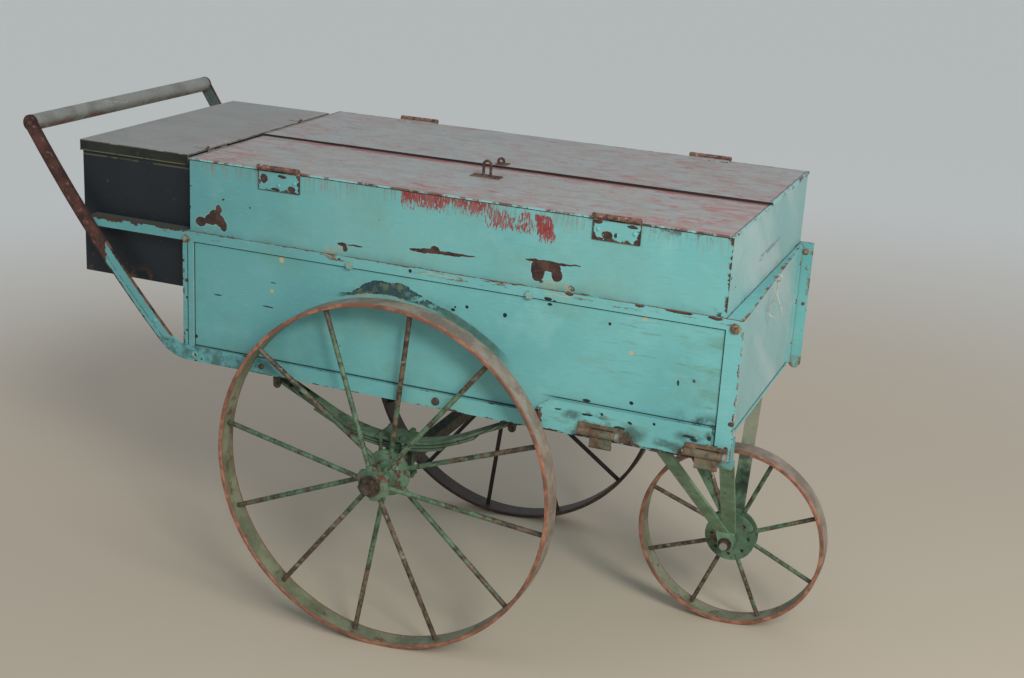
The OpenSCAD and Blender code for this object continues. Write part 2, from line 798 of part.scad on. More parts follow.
module leaf_springs() color(green) body_frame()
    for (s = [-1, 1])
        translate([0, s * spring_y, leaf_top_z])
            rotate([0, -leaf_tilt, 0])
                translate([0, 0, leaf_radius]) {
                    leaf(0, leaf_half_angle, 130, 118);
                    leaf(1, leaf_half_angle, 26, 20);
                    leaf(2, 15.5, 7, 7);
                }

// Lug on each side of a leaf end, a pad over it and a pin below it
module spring_hanger(y, eye, pad_z) {
    half = leaf_width / 2;
    x0 = eye[0] - 8;
    x1 = eye[0] + 8;
    for (ear = [-1, 1]) {
        y0 = y + ear * (half + 3.2);
        block([x0, y0 - 2, eye[1]], [x1, y0 + 2, hanger_top]);
        bar_y(y0 - 2, y0 + 2, eye[0], eye[1], 8);
    }
    block([x0, y - half - 5.2, pad_z], [x1, y + half + 5.2, hanger_top]);
    bar_y(y - half - 8, y + half + 8, eye[0], eye[1], 3);
}

module spring_hangers() color(rust) body_frame()
    for (s = [-1, 1]) {
        spring_hanger(s * spring_y, rear_eye, 503.6);
        spring_hanger(s * spring_y, front_eye, 507.4);
    }

module spring_clamp(side) {
    y = side * spring_y;
    stack = leaf_count * (leaf_t + 0.15);
    half = leaf_width / 2;
    axle_top = rear_radius + axle_square / 2;
    axle_low = rear_radius - axle_square / 2;
    block([-34, y - half - 10, leaf_top_z + 2.7], [34, y + half + 10, leaf_top_z + 8]);
    block([-16, y - half, axle_top], [16, y + half, leaf_top_z - stack - 0.7]);
    block([-34, y - half - 10, axle_low - 6], [34, y + half + 10, axle_low]);
    for (dx = [-24, 24]) {
        for (dy = [-1, 1])
            bar_z(axle_low - 16, leaf_top_z + 16, dx, y + dy * (half + 5), 4);
        for (dy = [-1, 1])
            translate([dx, y + dy * (half + 5), axle_low - 13])
                cylinder(h = 7, r = 6.8, $fn = 6);
        for (dy = [-1, 1])
            translate([dx, y + dy * (half + 5), leaf_top_z + 8])
                cylinder(h = 6, r = 6.8, $fn = 6);
    }
}

module spring_clamps() color(green) body_frame() {
    spring_clamp(-1);
    spring_clamp(1);
}

module rear_axle() color(rust) body_frame() {
    block([-axle_square / 2, -journal_start, rear_radius - axle_square / 2],
          [axle_square / 2, journal_start, rear_radius + axle_square / 2]);
    bar_y(-424, 424, 0, rear_radius, axle_r);
}

module rear_axle_nuts() color(rust) body_frame()
    for (s = [-1, 1])
        difference() {
            translate([0, s * (hub_outer_y + 0.35), rear_radius])
                rotate([s > 0 ? -90 : 90, 0, 0]) {
                    cylinder(h = 3, r = 22);
                    translate([0, 0, 3])
                        cylinder(h = 12, r = 18, $fn = 6);
                }
            bar_y(min(s * 395, s * 430), max(s * 395, s * 430), 0, rear_radius, axle_r);
        }

module rear_wheel_place(side) {
    translate([-mid_x, side * rear_track / 2, rear_radius])
        children();
}

// Spokes run alternately to the inner and to the outer hub flange
module rear_spokes(side) {
    rear_wheel_place(side)
        for (i = [0 : rear_spoke_count - 1]) {
            a = 18.5 + i * 360 / rear_spoke_count;
            inner = i % 2 == 0;
            y = side * (inner ? 325 : 386) - side * rear_track / 2;
            r0 = inner ? 36 : 26;
            dir = [cos(a), 0, sin(a)];
            rod(dir * r0 + [0, y, 0], dir * (rear_radius - rim_thickness + 1), rear_spoke_d / 2);
        }
}

module rear_hub(side) {
    translate([-mid_x, 0, rear_radius])
        difference() {
            rotate([side > 0 ? -90 : 90, 0, 0])
                rotate_extrude()
                    polygon([[axle_r + 0.06, hub_inner_y], [44, hub_inner_y], [47, 322], [47, 329],
                             [30, 334], [25, 345], [25, 370], [28, 379], [36, 381], [36, 391],
                             [24, 394], [23, hub_outer_y], [axle_r + 0.06, hub_outer_y]]);
            for (i = [0 : 5]) {
                a = 3.5 + i * 60;
                bar_y(min(side * 376, side * 396), max(side * 376, side * 396),
                      44 * cos(a), 44 * sin(a), 13);
            }
        }
}

module rear_rim_near() color(tyre) rear_wheel_place(-1)
    rim(rear_radius, rear_rim_width, rim_thickness);

module rear_spokes_near() color(green)
    rear_spokes(-1);

module rear_hub_near() color(green)
    rear_hub(-1);

module rear_rim_far() color(tyre) rear_wheel_place(1)
    rim(rear_radius, rear_rim_width, rim_thickness);

module rear_spokes_far() color(green)
    rear_spokes(1);

module rear_hub_far() color(green)
    rear_hub(1);

// ---------------------------------------------------------------- wire clip

// Torus of round wire standing in the X-Z plane
module wire_ring(x, z, r, wire_r) {
    translate([x, clip_y, z])
        rotate([90, 0, 0])
            rotate_extrude($fn = 48)
                translate([r, 0])
                    circle(r = wire_r, $fn = 12);
}

// Wire clip through the hole in the front ledge, with a twisted neck and an open loop
module wire_clip() color(bare) body_frame() {
    top = ledge_top - angle_t / 2;
    mid = clip_x + 6.5;
    wire_ring(mid, top, 6.5, 1.2);
    for (s = [-1, 1])
        rod([mid + s * 1.0, clip_y + s * 0.9, top - 6],
            [mid - s * 1.0, clip_y - s * 0.9, top - 34], 1.2);
    rod([mid, clip_y, top - 33], [mid - 12.5, clip_y, top - 64], 1.2);
    rod([mid, clip_y, top - 33], [mid + 12.5, clip_y, top - 64], 1.2);
    intersection() {
        wire_ring(mid, top - 68, 13.1, 1.2);
        block([mid - 20, clip_y - 5, top - 100], [mid + 20, clip_y + 5, top - 64]);
    }
}

upper_box();
lower_box();
floor_sheet();
mid_rail_near();
mid_rail_far();
mid_rail_front();
mid_rail_rear();
corner_angle_front_near();
corner_angle_front_far();
corner_angle_rear_near();
corner_angle_rear_far();
handle_arm_near();
handle_arm_far();
grip_bar();
front_sill();
skirt_plate();
lid_hinge_leaves();
lid_hinge_pins();
lid_near();
lid_near_straps();
lid_near_knuckles();
staple();
lid_far();
lid_far_straps();
lid_far_knuckles();
lock_eye();
back_box();
back_lid();
back_hinge_leaves();
back_hinge_pins();
back_lid_knuckles();
rail_bolts();
arm_rivets();
bottom_bolts();
hinge_screws();
corner_rivets();
bracket_plates();
bracket_pins();
bracket_leaf_rear();
bracket_leaf_front();
fork_near();
fork_far();
front_axle();
front_axle_nuts();
front_rim();
front_spokes();
front_hub();
leaf_springs();
spring_hangers();
spring_clamps();
rear_axle();
rear_axle_nuts();
rear_rim_near();
rear_spokes_near();
rear_hub_near();
rear_rim_far();
rear_spokes_far();
rear_hub_far();
wire_clip();
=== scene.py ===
"""Looks of the three-wheeled tool cart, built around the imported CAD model."""
import bpy
import bmesh
import math
from mathutils import Matrix, Vector


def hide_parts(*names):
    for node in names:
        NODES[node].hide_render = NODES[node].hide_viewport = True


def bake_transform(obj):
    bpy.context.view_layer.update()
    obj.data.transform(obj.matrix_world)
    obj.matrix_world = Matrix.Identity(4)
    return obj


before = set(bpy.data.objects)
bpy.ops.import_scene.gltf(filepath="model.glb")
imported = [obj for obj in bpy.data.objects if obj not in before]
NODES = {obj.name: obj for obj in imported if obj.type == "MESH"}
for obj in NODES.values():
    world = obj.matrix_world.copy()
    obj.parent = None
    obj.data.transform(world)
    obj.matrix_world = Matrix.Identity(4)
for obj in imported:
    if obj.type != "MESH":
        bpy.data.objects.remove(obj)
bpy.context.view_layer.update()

# ---- places shared with the CAD
MID_X = 0.001386  # the CAD origin lies this far ahead of the rear axle
PITCH = math.radians(3.4)  # the box slopes down to the front
REAR_R, FRONT_R = 0.356, 0.192  # wheel radii
WHEELBASE = 0.617
TYRE_W, FRONT_TYRE_W = 0.046, 0.044
TRACK = 0.353  # from the middle of the cart to each rear wheel
REAR_C = Vector((-MID_X, 0.0, REAR_R))
FRONT_C = Vector((WHEELBASE - MID_X, 0.0, FRONT_R))

BODY = (Matrix.Translation((-MID_X, 0, REAR_R)) @ Matrix.Rotation(PITCH, 4, "Y")
        @ Matrix.Translation((0, 0, -REAR_R)))   # body frame -> row frame
TO_BODY = BODY.inverted()

# places in the body frame, which is level with the box and has its x = 0 at the rear axle
UPPER_Y, LOWER_Y, HINGE_Y = -0.315, -0.317, -0.3175  # near faces of the sheets
RAIL_Y, SKIRT_Y = -0.321, -0.3275
NEAR_FROM_Y, NEAR_TO_Y = -0.3115, -0.3135  # the near walls start between these
LEDGE_Z, LEDGE_FOOT_Z = 0.778, 0.7571  # ledge angle, top and foot
POST_FRONT_X, POST_REAR_X = 0.6418, -0.4447  # inner edges of the near corner angles
RAIL_Z, RAIL_FOOT_Z = 0.540, 0.5095  # bottom rail, top and foot
SKIRT_TOP_Z, SKIRT_FOOT_Z = 0.573, 0.513
LID_Z = 0.922  # the lids lie on the upper box
LID_MID_X, LID_HALF = 0.09225, 0.547
LID_GAP_Y = -0.0285  # between the two lids
HINGE_MID_X, HINGE_OFF_X, HINGE_HALF, HINGE_FOOT_Z = 0.0865, 0.3415, 0.045, 0.884
SPRING_X, SPRING_Z = -0.006, 0.76095  # centre of the springs' curve
SPRING_JOINTS, SPRING_SHINE = (0.3501, 0.3562), 0.3445  # radii
SPOKE_TURN, SPOKE_COUNT = math.radians(18.5), 12  # lanes for the colour of the spokes


def lin(r, g, b):
    """Screen colour 0-255 to a scene-linear colour."""
    def one(v):
        v /= 255.0
        return v / 12.92 if v <= 0.04045 else ((v + 0.055) / 1.055) ** 2.4
    return (one(r), one(g), one(b), 1.0)


def arm_curve():
    """Centre and radius of the long upper curve of the handle arms, in the body frame."""
    slope, bend, long_r, rail_z = math.radians(46.5), 0.075, 2.700, 0.5245
    bx = -0.4555 - bend * math.sin(slope)
    bz = rail_z + bend * (1 - math.cos(slope))
    return bx + long_r * math.sin(slope), bz + long_r * math.cos(slope), long_r


ARM_CURVE = arm_curve()


# ---- shading toolkit
class Shade:
    """A material under construction: layers of colour, roughness and height.

    Values are node sockets or numbers. Noises take a seed, scale, detail and roughness.
    """

    def __init__(self, name, colour, body=True):
        self.m = bpy.data.materials.new(name)
        self.m.use_nodes = True
        self.t = self.m.node_tree
        self.t.nodes.clear()
        out = self.t.nodes.new("ShaderNodeOutputMaterial")
        self.bsdf = self.t.nodes.new("ShaderNodeBsdfPrincipled")
        self.t.links.new(self.bsdf.outputs[0], out.inputs[0])
        tc = self.t.nodes.new("ShaderNodeTexCoord")
        self.obj, self.nrm = tc.outputs["Object"], tc.outputs["Normal"]
        if body:
            mp = self.t.nodes.new("ShaderNodeMapping")
            mp.inputs["Location"].default_value = TO_BODY.translation
            mp.inputs["Rotation"].default_value = TO_BODY.to_euler()
            self.t.links.new(self.obj, mp.inputs[0])
            self.p = mp.outputs[0]
        else:
            self.p = self.obj
        self.colour, self.rough, self.metal, self.height = colour, 0.6, 0.0, None
        self._sep = {}

    # -- values
    def link(self, value, socket):
        if value is None:
            return
        if isinstance(value, (int, float)):
            socket.default_value = value
        elif isinstance(value, (tuple, list, Vector)):
            v = tuple(value)
            n = len(socket.default_value)
            socket.default_value = (v + (1.0,) * 4)[:n]
        else:
            self.t.links.new(value, socket)

    def math(self, op, a, b=None, c=None):
        n = self.t.nodes.new("ShaderNodeMath")
        n.operation = op
        for i, v in enumerate((a, b, c)):
            self.link(v, n.inputs[i])
        return n.outputs[0]

    def add(self, *v):
        return self._fold("ADD", v)

    def mul(self, *v):
        return self._fold("MULTIPLY", v)

    def most(self, *v):
        return self._fold("MAXIMUM", v)

    def least(self, *v):
        return self._fold("MINIMUM", v)

    def _fold(self, op, v):
        total = v[0]
        for x in v[1:]:
            total = self.math(op, total, x)
        return total

    def sub(self, a, b):
        return self.math("SUBTRACT", a, b)

    def inv(self, a):
        return self.math("SUBTRACT", 1.0, a)

    def abs(self, a):
        return self.math("ABSOLUTE", a)

    def hypot(self, a, b):
        return self.math("SQRT", self.add(self.mul(a, a), self.mul(b, b)))

    def sway(self, n, amount):
        """A noise turned into a push of up to amount / 2 either way."""
        return self.mul(self.sub(n, 0.5), amount)

    def vec(self, op, a, b=None):
        n = self.t.nodes.new("ShaderNodeVectorMath")
        n.operation = op
        self.link(a, n.inputs[0])
        if b is not None:
            self.link(b, n.inputs[1])
        return n.outputs["Value"] if op in ("LENGTH", "DISTANCE", "DOT_PRODUCT") else n.outputs[0]

    def xyz(self, v=None):
        """The three parts of a vector, by default of the place in the body frame."""
        v = self.p if v is None else v
        if v not in self._sep:
            n = self.t.nodes.new("ShaderNodeSeparateXYZ")
            self.link(v, n.inputs[0])
            self._sep[v] = n.outputs[:]
        return self._sep[v]

    def comb(self, x, y, z):
        n = self.t.nodes.new("ShaderNodeCombineXYZ")
        for i, v in enumerate((x, y, z)):
            self.link(v, n.inputs[i])
        return n.outputs[0]

    def noise(self, seed, scale, detail, rough, at=None, stretch=None):
        v = self.p if at is None else at
        if stretch:
            v = self.vec("MULTIPLY", v, stretch)
        if seed:
            v = self.vec("ADD", v, (seed * 1.37, seed * 0.71, seed * 2.13))
        n = self.t.nodes.new("ShaderNodeTexNoise")
        self.link(v, n.inputs["Vector"])
        n.inputs["Scale"].default_value = scale
        n.inputs["Detail"].default_value = detail
        n.inputs["Roughness"].default_value = rough
        return n.outputs[0]

    def cells(self, seed, scale):
        """Distance to the nearest of some scattered points."""
        v = self.vec("ADD", self.p, (seed * 1.9, seed * 0.83, seed * 1.27))
        n = self.t.nodes.new("ShaderNodeTexVoronoi")
        self.link(v, n.inputs["Vector"])
        n.inputs["Scale"].default_value = scale
        return n.outputs["Distance"]

    def step(self, v, lo, hi):
        """0 below lo and 1 above hi, smooth between. lo may be above hi to turn it over."""
        n = self.t.nodes.new("ShaderNodeMapRange")
        n.interpolation_type = "SMOOTHSTEP"
        flip = lo > hi
        self.link(v, n.inputs["Value"])
        n.inputs["From Min"].default_value = min(lo, hi)
        n.inputs["From Max"].default_value = max(lo, hi)
        n.inputs["To Min"].default_value = 1.0 if flip else 0.0
        n.inputs["To Max"].default_value = 0.0 if flip else 1.0
        return n.outputs["Result"]

    def span(self, v, lo, lo_full, hi, hi_full):
        """1 between lo_full and hi_full, fading out to lo and hi."""
        return self.mul(self.step(v, lo, lo_full), self.step(v, hi, hi_full))

    def cloud(self, seed, lo, hi, scale, detail, rough, stretch=None, at=None):
        """Soft patches: 1 where a noise is above hi, 0 where it is below lo."""
        return self.step(self.noise(seed, scale, detail, rough, at, stretch), lo, hi)

    def band(self, v, at, half, soft):
        """1 within half of at."""
        return self.step(self.abs(self.sub(v, at)), half + soft, half)

    # -- colours and masks
    def mix(self, kind, f, a, b, inputs, output):
        n = self.t.nodes.new("ShaderNodeMix")
        n.data_type = kind
        for value, k in zip((f, a, b), inputs):
            self.link(value, n.inputs[k])
        return n.outputs[output]

    def mixc(self, f, a, b):
        return self.mix("RGBA", f, a, b, (0, 6, 7), 2)

    def grade(self, v, lo, hi, a, b):
        """Colour a where v is below lo, and b where it is above hi."""
        return self.mixc(self.step(v, lo, hi), a, b)

    def mixf(self, f, a, b):
        return self.mix("FLOAT", f, a, b, (0, 2, 3), 0)

    def wander(self, amount, scale, detail):
        """Coordinates pushed about by noise, for edges that aren't straight."""
        n = self.t.nodes.new("ShaderNodeTexNoise")
        self.link(self.p, n.inputs["Vector"])
        n.inputs["Scale"].default_value = scale
        n.inputs["Detail"].default_value = detail
        off = self.vec("SUBTRACT", n.outputs["Color"], (0.5, 0.5, 0.5))
        off = self.vec("MULTIPLY", off, (amount * 2,) * 3)
        return self.vec("ADD", self.p, off)

    def facing(self, x, y, z):
        """1 on faces turned towards (x, y, z)."""
        return self.step(self.vec("DOT_PRODUCT", self.nrm, (x, y, z)), 0.70, 0.80)

    def spots(self, blobs, at, blend):
        """Distance-like field, 1 on the outline of each blob (x, y, z, rx, ry, rz)."""
        field = None
        for x, y, z, rx, ry, rz in blobs:
            d = self.vec("SUBTRACT", at, (x, y, z))
            d = self.vec("MULTIPLY", d, (1 / rx, 1 / ry, 1 / rz))
            d = self.vec("LENGTH", d)
            if field is None:
                field = d
            elif blend:
                field = self.math("SMOOTH_MIN", field, d, blend)
            else:
                field = self.least(field, d)
        return field

    def side_spots(self, y, blobs, at, blend=0.0, deep=0.02):
        """spots() on a near face at y; each blob is (x, z, rx, rz) in millimetres."""
        metres = [[v / 1000 for v in blob] for blob in blobs]
        return self.spots([(x, y, z, rx, deep, rz) for x, z, rx, rz in metres], at, blend)

    # -- layers
    def layer(self, mask, colour, rough, height=0.0, metal=0.0):
        """A new surface where mask is 1, higher or lower by height in millimetres."""
        self.colour = self.mixc(mask, self.colour, colour)
        self.rough = self.mixf(mask, self.rough, rough)
        if metal:
            self.metal = self.mixf(mask, self.metal, metal)
        if height:
            self.bump(self.mul(mask, height))

    def tint(self, mask, colour, amount):
        """Colour only, by amount of the mask."""
        self.colour = self.mixc(self.mul(mask, amount), self.colour, colour)

    def bump(self, h):
        """Adds a height, in millimetres."""
        self.height = h if self.height is None else self.add(self.height, h)

    def grit(self, height, seed, scale, detail, rough, at=None):
        """Adds a noise as height."""
        self.bump(self.mul(self.noise(seed, scale, detail, rough, at), height))

    def done(self, spec):
        """The finished material, with this much specular."""
        self.link(self.colour, self.bsdf.inputs["Base Color"])
        self.link(self.rough, self.bsdf.inputs["Roughness"])
        self.link(self.metal, self.bsdf.inputs["Metallic"])
        self.bsdf.inputs["Specular IOR Level"].default_value = spec
        if self.height is not None:
            b = self.t.nodes.new("ShaderNodeBump")
            b.inputs["Strength"].default_value = 1.0
            b.inputs["Distance"].default_value = 0.001
            self.link(self.height, b.inputs["Height"])
            self.t.links.new(b.outputs[0], self.bsdf.inputs["Normal"])
        return self.m


# ---- shared layers
TURQ = lin(114, 180, 178)
TURQ_DEEP = lin(98, 164, 164)
TURQ_PALE = lin(138, 192, 188)
# front faces: faded paint with a painted sheen
FADE_AND_SHEEN = lin(172, 186, 182)
# dark joints, and painted shadow lines
SEAM_AND_SHADOW = lin(30, 42, 40)
RUST = lin(84, 62, 54)
RUST_RED = lin(120, 68, 50)
RUST_DARK = lin(52, 40, 36)
RUST_BROWN = lin(70, 52, 44)
IRON, IRON_WORN = lin(70, 50, 44), lin(132, 98, 84)
IRON_BRIGHT = lin(172, 150, 132)
GRIME = lin(60, 66, 60)
GREEN = lin(84, 116, 92)


def rusty(s, seed=0.0):
    """Colour of bare rust: brown, mottled."""
    a = s.noise(seed, 38, 5, 0.6)
    b = s.noise(seed + 3, 190, 3, 0.6)
    c = s.grade(a, 0.38, 0.66, RUST_DARK, RUST)
    return s.mixc(s.mul(s.step(b, 0.5, 0.75), 0.55), c, RUST_RED)


def painted(name):
    """Brush-painted sheet: broad tone changes, fine level streaks, small dents and painted shade."""
    s = Shade(name, TURQ)
    streak = (6, 6, 60)
    broad = s.noise(0, 3.2, 4, 0.5)
    s.tint(s.step(broad, 0.4, 0.66), TURQ_DEEP, 0.8)
    mid = s.noise(2, 14, 4, 0.6)
    s.tint(s.step(mid, 0.5, 0.75), TURQ_PALE, 0.4)
    s.tint(s.cloud(6, 0.52, 0.72, 7, 4, 0.6, (1, 1, 1.6)), lin(112, 158, 142), 0.45)
    # painted shade: the near faces darker towards the handle, where less light falls
    s.tint(s.mul(s.step(s.xyz()[0], 0.05, -0.46), s.facing(0, -1, 0)), lin(70, 128, 132), 0.42)
    fine = s.noise(4, 9, 5, 0.65, stretch=streak)
    s.tint(s.step(fine, 0.5, 0.68), TURQ_DEEP, 0.5)
    s.tint(s.cloud(9, 0.58, 0.72, 9, 4, 0.6, streak), TURQ_PALE, 0.4)
    s.rough = s.mixf(s.step(mid, 0.3, 0.7), 0.42, 0.6)
    s.grit(2.6, 5, 5, 3, 0.5)
    s.bump(s.mul(fine, 0.14))
    s.grit(0.05, 0, 420, 2, 0.5)
    return s


def front_fade_and_sheen(s, amount):
    """Front faces paler, partly faded paint and partly a painted sheen, with soft slanting lighter bands.
    """
    front = s.facing(1, 0, 0)
    _, y, z = s.xyz()
    slant = s.add(z, s.mul(y, 0.62))
    bands = s.noise(303, 7, 3, 0.5, at=s.comb(slant, s.mul(y, 0.25), 0.0))
    # partly faded paint, partly a painted sheen: the front faces paler all over
    s.tint(front, FADE_AND_SHEEN, amount)
    s.tint(s.mul(front, s.step(bands, 0.5, 0.68)), lin(196, 204, 202), 0.4)
    s.tint(s.mul(front, s.step(bands, 0.46, 0.34)), TURQ_DEEP, 0.3)
    s.tint(s.mul(front, s.cloud(305, 0.58, 0.68, 26, 5, 0.7)), lin(132, 150, 142), 0.4)


def seams_and_shadow_lines(s, lines, seed, amount=0.9):
    """Dark joints and painted shadow lines; lines is a list of (coordinate, place, half width, mask or
    None).
    """
    total = None
    for coord, place, half, mask in lines:
        line = s.band(coord, place, half, 0.0005)
        if mask is not None:
            line = s.mul(line, mask)
        total = line if total is None else s.most(total, line)
    n = s.noise(311 + seed, 48, 4, 0.7)
    dark = s.grade(n, 0.5, 0.62, SEAM_AND_SHADOW, lin(78, 54, 44))
    s.layer(s.mul(total, s.step(n, 0.22, 0.36), amount), dark, 0.8)


def chip(s, seed, *masks):
    """Paint gone down to rusty steel where every mask is 1."""
    s.layer(s.mul(*masks), rusty(s, seed), 0.82, -0.35)


def specks(s, amount, seed, scale=36):
    """Scattered small chips; amount 0-1."""
    d = s.cells(seed, scale)
    gate = s.noise(seed + 1, 7, 3, 0.6)
    size = s.mul(s.step(gate, 0.62 - 0.2 * amount, 0.85 - 0.2 * amount), 0.22)
    rag = s.sway(s.noise(0, 260, 2, 0.6), 0.1)
    return s.step(s.sub(s.add(size, rag), d), 0.0, 0.03)


def hinge_iron(s, n, dark, bright):
    """Bare iron of the knuckles: brown, rubbed bright in places."""
    iron = s.grade(n, dark, 0.62, IRON, IRON_WORN)
    return s.mixc(s.cloud(353, bright, bright + 0.06, 120, 4, 0.6), iron, IRON_BRIGHT)


def near_side(s):
    """1 on the outer faces of the near side of the box."""
    return s.mul(s.step(s.xyz()[1], NEAR_FROM_Y, NEAR_TO_Y), s.facing(0, -1, 0))


def wear_line(s, coord, at, reach, seed, level):
    """Rust along an edge at coord = at, breaking up within reach (m)."""
    d = s.abs(s.sub(coord, at))
    n = s.noise(seed, 30, 5, 0.7)
    width = s.mul(s.step(n, level, level + 0.3), reach)
    return s.step(s.sub(width, d), 0.0, 0.0006)


# ---- materials
def mat_upper():
    """Upper box: red brush strokes under the lid, bare patches, rust along the edges."""
    s = painted("upper_paint")
    x, y, z = s.xyz()
    near = near_side(s)
    s.tint(s.cloud(7, 0.35, 0.7, 5, 4, 0.6), lin(128, 160, 148), 0.35)
    # weathered upper edge: grey-green, with fine runs
    runs = s.cloud(23, 0.48, 0.62, 26, 4, 0.7, (7, 7, 0.6))
    s.tint(s.mul(s.step(z, 0.885, 0.915), runs), lin(120, 128, 118), 0.5)
    front_fade_and_sheen(s, 0.3)
    # red brush strokes running down from under the lid edge, broken into flecks
    fall = s.sub(0.921, z)
    fleck = s.noise(11, 100, 4, 0.62, stretch=(4.2, 4.2, 0.95))
    lump = s.noise(13, 34, 3, 0.6, stretch=(1, 1, 0.5))
    left = s.mul(s.span(x, 0.002, 0.008, 0.125, 0.085), s.step(fall, 0.04, 0.002))
    mid = s.mul(s.span(x, 0.085, 0.12, 0.205, 0.165), s.step(fall, 0.036, 0.004), 0.78)
    right = s.mul(s.span(x, 0.15, 0.2, 0.285, 0.26), s.span(fall, 0.004, 0.012, 0.052, 0.036), 0.56)
    leaning = s.add(x, s.mul(fall, -0.25))
    end = s.mul(s.span(leaning, 0.264, 0.272, 0.304, 0.298), s.span(fall, 0.005, 0.01, 0.062, 0.04))
    dense = s.most(left, mid, right, end)
    red = s.step(s.add(fleck, s.sway(lump, 0.35), s.mul(dense, 0.27)), 0.615, 0.65)
    red = s.mul(red, s.step(dense, 0.02, 0.12), near)
    s.layer(red, s.grade(fleck, 0.42, 0.6, lin(132, 42, 46), lin(138, 76, 74)), 0.7)
    s.tint(s.mul(s.step(dense, 0.1, 0.5), near, s.step(lump, 0.5, 0.6)), lin(140, 128, 124), 0.3)
    # faint red and pale scratches
    thin = s.cloud(21, 0.6, 0.66, 30, 3, 0.6, (7, 7, 0.5))
    zone = s.mul(s.step(z, 0.875, 0.912), near)
    s.tint(s.mul(thin, zone), lin(160, 104, 98), 0.65)
    # a long faint smear on the front, rising to the far side
    lean = s.sub(s.sub(z, 0.8351), s.mul(y, 0.0422))
    smear = s.mul(s.band(lean, 0.0, 0.0035, 0.004), s.span(y, -0.095, -0.07, 0.115, 0.09))
    smear = s.mul(smear, s.facing(1, 0, 0), s.cloud(25, 0.4, 0.56, 40, 5, 0.7, (1, 0.5, 2)))
    s.tint(smear, lin(104, 112, 124), 0.8)
    # bare patches, each made of a few lobes with ragged outlines
    w = s.wander(0.0042, 52, 5)
    lobes = [(-430, 800.5, 14.5, 10), (-408, 807, 14, 12.5), (-398, 817.5, 13, 12.5),
             (-390, 830, 8, 10), (-388, 806.5, 12, 12), (-379.5, 798, 8.5, 12),
             (-379.6, 851, 3.5, 2.2), (-117, 799.5, 10.5, 4.5), (-111, 793, 5.5, 7.5),
             (-90, 801, 18, 1.8), (42, 811, 20, 3.6), (72, 814.5, 24, 5.2), (78, 819, 10, 5.8),
             (108, 814.8, 28, 4), (140, 815.5, 20, 2.2), (284, 812, 15, 18), (284, 800, 11.5, 11),
             (304, 819, 26, 10), (321, 805, 11.5, 13), (298, 827, 44, 3.4), (345, 829, 24, 1.8),
             (291, 789.5, 4.5, 3.5), (351, 784, 7, 3.5), (349, 787, 6, 3.5)]
    patch = s.side_spots(UPPER_Y, lobes, w, 0.25)
    chip(s, 1, s.step(patch, 0.97, 0.9), near)
    lip = s.mul(s.band(patch, 1.0, 0.03, 0.04), near)
    s.tint(lip, TURQ_PALE, 0.5)
    # flaked places beside the patches: pale undercoat with thin cream outlines
    places = [(322, 784, 32, 12), (-135, 789, 20, 9)]
    area = s.side_spots(UPPER_Y, places, s.wander(0.006, 40, 6))
    flake = s.noise(53, 46, 5, 0.72)
    inside = s.mul(s.step(area, 1.1, 0.85), near)
    s.tint(s.mul(inside, s.step(flake, 0.44, 0.54)), lin(140, 176, 160), 0.8)
    s.tint(s.mul(inside, s.band(flake, 0.5, 0.012, 0.012)), lin(164, 150, 118), 0.8)
    # rust above the ledge, along the front corner and under the lid near the front
    chip(s, 2, wear_line(s, z, LEDGE_Z, 0.005, 31, 0.5))
    front = s.step(x, 0.36, 0.62)
    under = s.mul(s.step(z, 0.905, 0.919), front, near)
    chip(s, 3, under, s.cloud(33, 0.53, 0.57, 58, 5, 0.72))
    chip(s, 4, wear_line(s, z, LID_Z, 0.003, 35, 0.4))
    n = s.noise(41, 58, 5, 0.7)
    edge_n = s.mul(s.step(x, 0.629, 0.64), near)
    chip(s, 5, s.step(s.add(s.mul(edge_n, 0.42), n), 0.84, 0.87))
    edge_f = s.mul(s.step(y, -0.3115, -0.3145), s.step(x, 0.632, 0.638))
    chip(s, 5, edge_f, s.step(n, 0.5, 0.55))
    base = s.mul(s.step(z, 0.797, 0.779), s.step(x, 0.6, 0.632), near)
    chip(s, 6, base, s.step(n, 0.52, 0.56))
    rear = s.step(x, -0.4425, -0.453)
    chip(s, 7, s.step(s.add(s.mul(rear, 0.2), s.noise(47, 40, 4, 0.7)), 0.8, 0.84))
    chip(s, 8, specks(s, 0.45, 3))
    # grime settles in the corner above the ledge; under the lid a dark joint with painted shadow
    s.tint(s.mul(s.step(z, 0.8, LEDGE_Z), s.cloud(51, 0.35, 0.7, 12, 4, 0.6)), GRIME, 0.25)
    seams_and_shadow_lines(s, [(z, LID_Z - 0.0005, 0.001, None)], 2, 0.8)
    return s.done(0.35)


